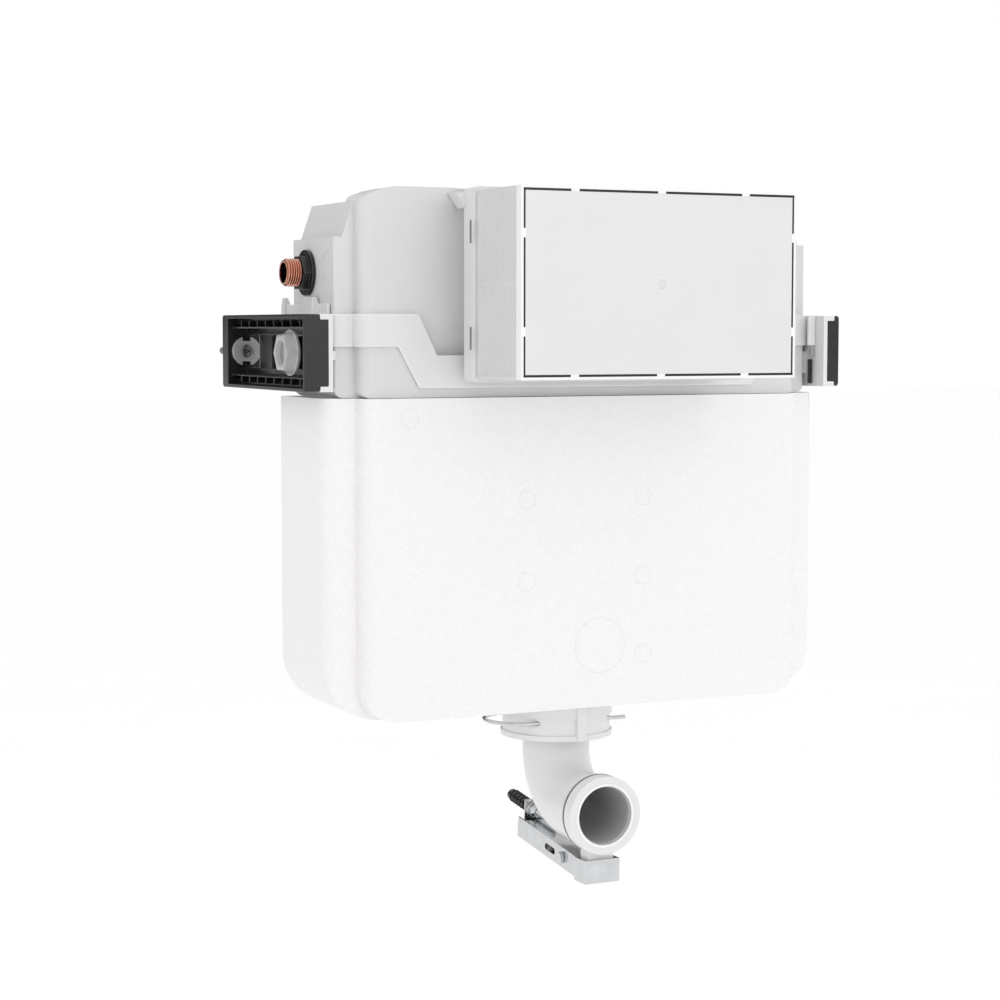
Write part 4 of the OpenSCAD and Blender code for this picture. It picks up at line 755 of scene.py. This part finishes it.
# rows of (along, size, share of hexagon): radius = size * (1 - share + share * hexagon), so a share of 0 is
# round and a share of 1 has flats
def makeClampNut(side, settings):
    node = "clamp_nut_" + side
    low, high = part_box(node)
    outward = -1.0 if side == "left" else 1.0
    start = (high[0] if side == "left" else low[0], (low[1] + high[1]) / 2, (low[2] + high[2]) / 2)
    length, ease, neck = high[0] - low[0], settings["ease"], settings["neck"]
    base, flange = settings["neckLong"], settings["flange"]
    thick = base + settings["flangeThick"]
    front, recess = settings["hexFront"], settings["recess"]
    rows = np.array([
        (base, neck, 0), (base, flange - ease, 0), (base + ease, flange, 0), (thick - ease, flange, 0),
        (thick, flange - ease, 0), (thick, settings["hexBack"], 1), (length - ease, front, 1),
        (length, front - ease, 1), (length, recess + ease, 0), (length - ease, recess, 0),
        (length - settings["recessDeep"], recess, 0)])
    angle = roundAngles(settings["columns"])
    share = rows[:, 2:]
    radii = rows[:, 1:2] * (1 - share + share * hexagonShare(angle))
    direction = (outward, 0.0, 0.0)
    points = carriedRound(rows[:, :1], radii, angle, start, direction)
    gridPiece("clampNut_" + side, [points], node, finish=variants["nut"], even=True)
    profile = [(0, neck - ease), (ease, neck), (base + settings["neckIn"], neck)]
    points = turned(profile, settings["columns"], start, direction)
    gridPiece("nutNeck_" + side, [points], None, like=node, finish=finishes["black_plastic"])


for side in ("left", "right"):
    makeClampNut(side, nutSettings)

# tilted arm of the lower bracket: where its top starts, and the plate that closes its back part
armSettings = {
    "start": (0.0, -194.0 * mm, -388.4 * mm),
    "tilt": radians(6.6),
    "plateLow": (-14.0 * mm, 1.0 * mm, -1.2 * mm),
    "plateHigh": (14.0 * mm, 90.0 * mm, 0.03 * mm),
    "plateEase": 0.3 * mm,
}
armAlong = np.array([0.0, np.cos(armSettings["tilt"]), np.sin(armSettings["tilt"])])
armUp = np.array([0.0, -np.sin(armSettings["tilt"]), np.cos(armSettings["tilt"])])

# hanger stud on the arm, with its cone-faced nut and pressed washer
studSettings = {
    "from": 63.0 * mm,
    "height": 5.0 * mm,
    "length": 71.0 * mm,
    "crest": 3.0 * mm,
    "root": 2.45 * mm,
    "pitch": 1.5 * mm,
    "rowsPerTurn": 8,
    "endRadius": 1.6 * mm,
    "endSlope": 0.8,
    "columns": 48,
    "nutStart": 29.2 * mm,
    "nutEnd": 36.2 * mm,
    "nutCorner": 7.0 * mm,
    "nutFace": 4.2 * mm,
    "nutRows": 15,
    "nutColumns": 72,
    "frontSlope": 0.85,
    "backSlope": 0.5,
    "edge": 0.3 * mm,
    "washerStart": 34.7 * mm,
    "washer": 8.0 * mm,
}


# stud: radius = root + (crest - root) * wave with short end cones; nut: the smallest of the hexagon and of
# one cone from each end
def makeStud(settings):
    start = np.array(armSettings["start"]) + armAlong * settings["from"] + armUp * settings["height"]
    angle = roundAngles(settings["columns"])
    rows = np.arange(0, settings["length"], settings["pitch"] / settings["rowsPerTurn"])[:, None]
    rise = (settings["crest"] - settings["root"]) * threadWave(rows, angle, settings["pitch"])
    ends = settings["endRadius"] + np.minimum(rows, settings["length"] - rows) * settings["endSlope"]
    points = carriedRound(rows, np.minimum(settings["root"] + rise, ends), angle, start, armAlong)
    gridPiece("hangerStud", [points], "bend_wall_screw")
    edge, nutStart, nutEnd = settings["edge"], settings["nutStart"], settings["nutEnd"]
    deep = nutEnd - nutStart
    angle = roundAngles(settings["nutColumns"])
    share = np.linspace(0, 1, settings["nutRows"])[:, None]
    front = settings["nutFace"] + share * deep * settings["frontSlope"]
    back = settings["nutCorner"] + (1 - share) * deep * settings["backSlope"] - edge
    hexagon = settings["nutCorner"] * hexagonShare(angle + np.pi / 6)
    points = carriedRound(nutStart + share * deep, np.minimum(np.minimum(hexagon, front), back), angle, start,
                          armAlong)
    gridPiece("hangerNut", [points], "bend_wall_screw")
    ring, washerStart = settings["washer"], settings["washerStart"]
    profile = [(washerStart, ring - edge), (washerStart + edge, ring), (nutEnd - edge, ring),
               (nutEnd, ring - edge)]
    gridPiece("hangerWasher", [turned(profile, settings["columns"], start, armAlong)], "bend_wall_screw")


# point = arm's start + x * right + y * along the arm + z * up from it
def makeArmTop(settings):
    local = easedBox(settings["plateLow"], settings["plateHigh"], settings["plateEase"])
    points = np.array(settings["start"]) + local @ np.array([(1.0, 0.0, 0.0), armAlong, armUp])
    gridPiece("armTop", [points], None, like="bend_bracket", even=True)


makeStud(studSettings)
makeArmTop(armSettings)

# wire clip under the collar: two legs and the half-round loop between them, with rounded ends
clipSettings = {
    "wire": 1.6 * mm,
    "loop": 29.0 * mm,
    "axis": -133.0 * mm,
    "legRows": 11,
    "loopRows": 40,
    "columns": 20,
}


def makeClip(settings):
    low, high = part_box("retaining_clip")
    height = (low[2] + high[2]) / 2
    out, end, loop, count = low[0] + settings["wire"], high[0], settings["loop"], settings["legRows"]
    centre = out + loop
    turn = np.linspace(np.pi / 2, 3 * np.pi / 2, settings["loopRows"])
    leg = np.linspace(end, centre, count + 1)[:-1]
    x = np.concatenate([leg, centre + loop * np.cos(turn), leg[::-1]])
    y = np.concatenate([np.full(count, loop), loop * np.sin(turn), np.full(count, -loop)]) + settings["axis"]
    route = np.stack([x, y, np.full(len(x), height)], -1)
    wire = tubeAlong(route, settings["wire"], (0.0, 0.0, 1.0), settings["columns"])
    gridPiece("clipWire", [wire], "retaining_clip")


makeClip(clipSettings)

# braided hose inside the tank: straight, half round, straight
hoseSettings = {
    "radius": 6.0 * mm,
    "left": -160.0 * mm,
    "right": -80.0 * mm,
    "depth": -120.0 * mm,
    "low": -60.0 * mm,
    "leftTop": 31.2 * mm,
    "rightTop": -45.3 * mm,
    "leftRows": 40,
    "bendRows": 48,
    "rightRows": 8,
    "columns": 32,
}


def makeHose(settings):
    left, right, bottom = settings["left"], settings["right"], settings["low"]
    bend, middle = (right - left) / 2, (right + left) / 2
    turn = np.linspace(np.pi, 2 * np.pi, settings["bendRows"])
    fall = np.linspace(settings["leftTop"], bottom, settings["leftRows"])[:-1]
    rise = np.linspace(bottom, settings["rightTop"], settings["rightRows"])[1:]
    x = np.concatenate([np.full(len(fall), left), middle + bend * np.cos(turn), np.full(len(rise), right)])
    z = np.concatenate([fall, bottom + bend * np.sin(turn), rise])
    route = np.stack([x, np.full(len(x), settings["depth"]), z], -1)
    hose = tubeAlong(route, settings["radius"], (0.0, 1.0, 0.0), settings["columns"])
    gridPiece("braidedHose", [hose], "supply_hose")


makeHose(hoseSettings)

# service shaft: a square tube with ridges round it, whose grooves end before the corners and at the row of
# depth marks in the middle of each upright side
shaftSettings = {
    "corner": 1.4 * mm,
    "cornerRows": 6,
    "wall": 3.8 * mm,
    "plain": 6.3 * mm,
    "pitch": 4.95 * mm,
    "ridges": 12,
    "rowsPerRidge": 8,
    "depth": 1.7 * mm,
    "ease": 0.3 * mm,
    "cornerClear": 2.6 * mm,
    "openFrom": 7.8 * mm,
    "markHalf": 1.1 * mm,
    "fade": 1.6 * mm,
    "fadeShares": (0.0, 0.3, 0.6, 1.0),
    "markShares": (0.0, 0.4, 0.7, 1.0),
}


# outline round the shaft as (x, z), the way out at each point, and how open a groove is there: 0 at the
# corners and at the marks, and 1 where the fade from them is over
def shaftOutline(wide, high, settings):
    corner, clear, fade = settings["corner"], settings["cornerClear"], settings["fade"]
    fromCorner = clear + fade * np.array(settings["fadeShares"])
    near = np.concatenate([[corner], fromCorner, [settings["openFrom"]]])
    mark = settings["markHalf"] + fade * np.array(settings["markShares"])
    outline, outward, opened = [], [], []
    for turn in range(4):
        upright = turn % 2 == 0
        length, reach = (high, wide) if upright else (wide, high)
        first = np.concatenate([near - length, -mark[::-1] if upright else []])
        places = np.concatenate([first, -first[::-1]])
        quarter = turn * np.pi / 2
        normal = np.array([np.cos(quarter), np.sin(quarter)])
        along = np.array([-np.sin(quarter), np.cos(quarter)])
        cornerOpen = np.clip((length - np.abs(places) - clear) / fade, 0, 1)
        markOpen = np.clip((np.abs(places) - settings["markHalf"]) / fade, 0, 1) if upright else 1.0
        swing = np.linspace(0, np.pi / 2, settings["cornerRows"])[1:-1] + quarter
        arc = np.stack([np.cos(swing), np.sin(swing)], -1)
        centre = normal * (reach - corner) + along * (length - corner)
        outline += [normal * reach + places[:, None] * along, centre + corner * arc]
        outward += [np.repeat(normal[None], len(places), 0), arc]
        opened += [cornerOpen * markOpen, np.zeros(len(swing))]
    return np.concatenate(outline), np.concatenate(outward), np.concatenate(opened)


# point = outline - outward * sink, with sink = depth * (1 - cos(turns over the pitch)) / 2 * open
def makeShaft(settings):
    low, high = np.array(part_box("service_shaft"))
    half, middle = (high - low) / 2, (high + low) / 2
    back, front, ease = high[1], low[1], settings["ease"]
    outline, outward, opened = shaftOutline(half[0], half[2], settings)
    start, count = back - settings["plain"], settings["ridges"]
    ridges = np.linspace(start, start - settings["pitch"] * count, count * settings["rowsPerRidge"] + 1)
    wave = (1 - np.cos(2 * np.pi * (start - ridges) / settings["pitch"])) / 2
    wave = np.concatenate([[0, 0], wave, [0, 0]])
    sink = settings["depth"] * wave[:, None] * opened
    sink[[0, -1]] += ease
    sink = np.concatenate([sink, np.full((2, len(opened)), settings["wall"])])
    depth = np.concatenate([[back, back - ease], ridges, [front + ease, front, front, back]])
    flat = outline[None] - sink[..., None] * outward[None]
    depth = np.broadcast_to(depth[:, None], sink.shape)
    points = np.stack([flat[..., 0], depth, flat[..., 1] + middle[2]], -1)
    gridPiece("ridgedShaft", [points], "service_shaft", closedProfile=True, finish=variants["shaft"])


makeShaft(shaftSettings)


# bar on the cover from start to stop, level or upright, with its middle on the line
def coverBar(upright, line, half, start, stop, front, settings):
    deep, ease = settings["face"] + settings["deep"], settings["ease"]
    if upright:
        return easedBox((line - half, front, start), (line + half, deep, stop), ease)
    return easedBox((start, front, line - half), (stop, deep, line + half), ease)


# painted shade in the cover's broken slots: dark bars just in front of its face, and the bridges between them
# that close the slots in the lighter painted highlight colour, level and then upright
def makeCoverSlotShadeAndBridges(settings):
    front = settings["face"] - settings["proud"]
    across, low, high = settings["across"], settings["low"], settings["high"]
    half, slot = settings["gap"] / 2, settings["slot"] / 2
    dark, light = [], []
    for upright in (False, True):
        wide = settings["upright" if upright else "level"] / 2
        gaps = settings["gapsUp" if upright else "gapsAcross"]
        ends, lines = ((low, high), (-across, across)) if upright else ((-across, across), (low, high))
        starts = (ends[0] - wide, *(gap + half for gap in gaps))
        stops = (*(gap - half for gap in gaps), ends[1] + wide)
        slotShadeFront = front + (settings["uprightIn"] if upright else 0.0)
        for line in lines:
            for start, stop in zip(starts, stops):
                dark.append(coverBar(upright, line, wide, start, stop, slotShadeFront, settings))
            for gap in gaps:
                lightFront = front + settings["bridgeIn"]
                light.append(coverBar(upright, line, slot, gap - half, gap + half, lightFront, settings))
    # painted highlight on the bridges
    bridgeHighlight = edgeHighlights["white_plastic"]
    gridPiece("coverSlotShade", dark, None, like="front_cover", slot="black_plastic", even=True)
    gridPiece("coverBridges", light, None, like="front_cover", finish=bridgeHighlight, even=True)


makeCoverSlotShadeAndBridges(coverLineSettings)

# socket of the bend: a grey lining through its bore, the lip seal carried on as painted shade of the deep
# bore; a ring at its mouth in the painted highlight colour; and a dark ring behind the rim as a painted
# shadow line; the last two as (depth, radius) in millimetres
socketSettings = {
    "height": -353.4 * mm,
    "turn": -173.0 * mm,
    "turnRadius": 40.0 * mm,
    "turnEnd": radians(88),
    "lining": (22.5 * mm, 22.1 * mm),
    "liningIn": 1.6 * mm,
    "straightRows": 11,
    "turnRows": 24,
    "columns": 96,
    "ring": ((0.3, 22.55), (-0.3, 23.1), (-0.5, 23.8), (-0.3, 24.5), (0.2, 24.95), (2.0, 24.95),
             (2.0, 22.55)),
    "rimShadow": ((12.0, 28.0), (12.0, 30.2), (13.4, 30.2), (13.4, 28.0)),
}


# lining: straight to the elbow, then a quarter turn up; highlight ring and shadow ring: closed profiles
def makeSocket(settings):
    mouth, columns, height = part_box("flush_bend")[0][1], settings["columns"], settings["height"]
    straight = np.linspace(mouth + settings["liningIn"], settings["turn"], settings["straightRows"] + 1)[:-1]
    turn = np.linspace(0, settings["turnEnd"], settings["turnRows"])
    y = np.concatenate([straight, settings["turn"] + settings["turnRadius"] * np.sin(turn)])
    z = np.concatenate([np.zeros(len(straight)), settings["turnRadius"] * (1 - np.cos(turn))]) + height
    route = np.stack([np.zeros(len(y)), y, z], -1)
    lining = liningAlong(route, *settings["lining"], (1.0, 0.0, 0.0), columns)
    gridPiece("boreShadeLining", [lining], "bend_lip_seal", closedProfile=True, finish=variants["bore"])
    # painted highlight on the mouth ring, painted shadow on the dark ring behind the rim
    rings = {"mouthHighlightRing": ("ring", edgeHighlights["white_plastic"]), "rimShadowLine": ("rimShadow", variants["slit"])}
    for name, (profile, finish) in rings.items():
        rows = np.array(settings[profile]) * mm
        points = turned(rows, columns, (0.0, mouth, height), (0.0, 1.0, 0.0))
        gridPiece(name, [points], None, like="flush_bend", closedProfile=True, finish=finish, even=True)


makeSocket(socketSettings)

# small blocks in millimetres, most of them moulded and some dark ones as painted shade: node whose body they
# ride on, slot or variant, edge radius, low corner and high corner
trimBlocks = {
    "strapTab_left": ("tank_strap", "white_plastic", 0.6, (-206.2, -176.7, -5.4), (-203.0, -173.3, 1.6)),
    "strapTab_right": ("tank_strap", "grey_plastic", 0.6, (203.6, -183.2, -4.3), (208.6, -179.8, 5.1)),
    "strapEnd_right": ("tank_strap", "white_plastic", 0.7, (200.5, -184.4, 4.6), (207.4, -181.8, 28.5)),
    # painted shade: a black block in the gap between the tank's side and the right guide
    "guideWedge": ("guide_right", "black_plastic", 0.4, (203.8, -181.0, -26.0), (206.4, -178.0, -6.5)),
    # dark strips as painted shade in the slits of the shaft frame
    "frameSlit_high": ("shaft_frame", "slit", 0.1, (-117.4, -225.33, 79.6), (-116.4, -224.0, 96.2)),
    "frameSlit_low": ("shaft_frame", "slit", 0.1, (-117.4, -225.33, 2.3), (-116.4, -224.0, 19.0)),
    "slotWeb_left": ("bracket_left", "black_plastic", 0.2, (-213.6, -69.0, -12.9), (-211.5, -41.0, 12.9)),
    "slotWeb_right": ("bracket_right", "black_plastic", 0.2, (211.5, -69.0, -12.9), (213.6, -41.0, 12.9)),
    "slotTongue_left": ("guide_left", "black_plastic", 0.1, (-203.55, -92.0, -14.0), (-203.05, -35.0, 14.0)),
    "slotTongue_right": ("guide_right", "black_plastic", 0.1, (203.05, -112.0, -14.0), (203.55, -35.0, 14.0)),
}
for name, (node, shade, ease, low, high) in trimBlocks.items():
    block = easedBox(np.array(low) * mm, np.array(high) * mm, ease * mm)
    finish = variants.get(shade)
    gridPiece(name, [block], None, like=node, slot=None if finish else shade, finish=finish, even=True)
print("threads, nuts, wires, shaft, cover lines, socket and small blocks made")

# pale floor well below the cistern
floorSettings = {
    "height": -1.0,
    "size": 60.0,
    "glow": 0.07,
    "rough": 0.9,
    "patch": 0.4,
    "shades": ((0.97, 0.97, 0.97), (0.99, 0.99, 0.99)),
}


def makeFloor(settings):
    half = settings["size"] / 2
    data = bpy.data.meshes.new("paleFloor")
    corners = [(x * half, y * half, settings["height"]) for x, y in ((-1, -1), (1, -1), (1, 1), (-1, 1))]
    data.from_pydata(corners, [], [(0, 1, 2, 3)])
    floor = bpy.data.objects.new("paleFloor", data)
    scene.collection.objects.link(floor)
    finish = Finish("floorPaint", Roughness=settings["rough"], Emission_Color=(1.0, 1.0, 1.0, 1.0),
                    Emission_Strength=settings["glow"])
    finish.wear("Base Color", finish.tint(finish.noise(settings["patch"]), *settings["shades"]))
    data.materials.append(finish.material)


makeFloor(floorSettings)

# white room, whose wall behind is a dark cloth from the horizon up that only reflections show: facing runs
# from the sides to the back, bottom and top are the heights over which the cloth fades
roomSettings = {
    "light": 0.94,
    "clothLight": 0.06,
    "facing": (0.55, 0.8),
    "bottom": (-0.03, 0.0),
    "top": (0.5, 0.25),
}


def makeRoom(settings):
    world = bpy.data.worlds.new("studio")
    scene.world = world
    world.use_nodes = True
    tree = world.node_tree
    background = tree.nodes["Background"]
    background.inputs["Color"].default_value = (1.0, 1.0, 1.0, 1.0)

    def blend(value, low, high, toLow, toHigh):
        node = tree.nodes.new("ShaderNodeMapRange")
        inputs = {"Value": value, "From Min": low, "From Max": high, "To Min": toLow, "To Max": toHigh}
        for socket, number in inputs.items():
            if isinstance(number, bpy.types.NodeSocket):
                tree.links.new(number, node.inputs[socket])
            else:
                node.inputs[socket].default_value = number
        return node.outputs["Result"]

    path = tree.nodes.new("ShaderNodeLightPath").outputs
    sky = tree.nodes.new("ShaderNodeSeparateXYZ")
    tree.links.new(tree.nodes.new("ShaderNodeTexCoord").outputs["Generated"], sky.inputs["Vector"])
    cloth = blend(sky.outputs["Y"], *settings["facing"], 0.0, path["Is Glossy Ray"])
    cloth = blend(sky.outputs["Z"], *settings["bottom"], 0.0, cloth)
    cloth = blend(sky.outputs["Z"], *settings["top"], 0.0, cloth)
    room = blend(cloth, 0.0, 1.0, settings["light"], settings["clothLight"])
    strength = blend(path["Is Camera Ray"], 0.0, 1.0, room, 1.0)
    tree.links.new(strength, background.inputs["Strength"])


makeRoom(roomSettings)

# soft panels in front and above, aimed at the cistern
panelSettings = {
    "frontPanel": {"place": (0.3, -3.0, 0.9), "size": 2.0, "power": 8.0},
    "topPanel": {"place": (0.2, -1.0, 2.4), "size": 2.2, "power": 4.0},
}


def makePanel(name, settings):
    lamp = bpy.data.lights.new(name, "AREA")
    lamp.size = settings["size"]
    lamp.energy = settings["power"]
    holder = bpy.data.objects.new(name, lamp)
    holder.location = settings["place"]
    holder.rotation_euler = (-holder.location).to_track_quat("-Z", "Y").to_euler()
    scene.collection.objects.link(holder)


for name, panel in panelSettings.items():
    makePanel(name, panel)
scene.view_settings.view_transform = "Standard"
print("floor, room and panels set")
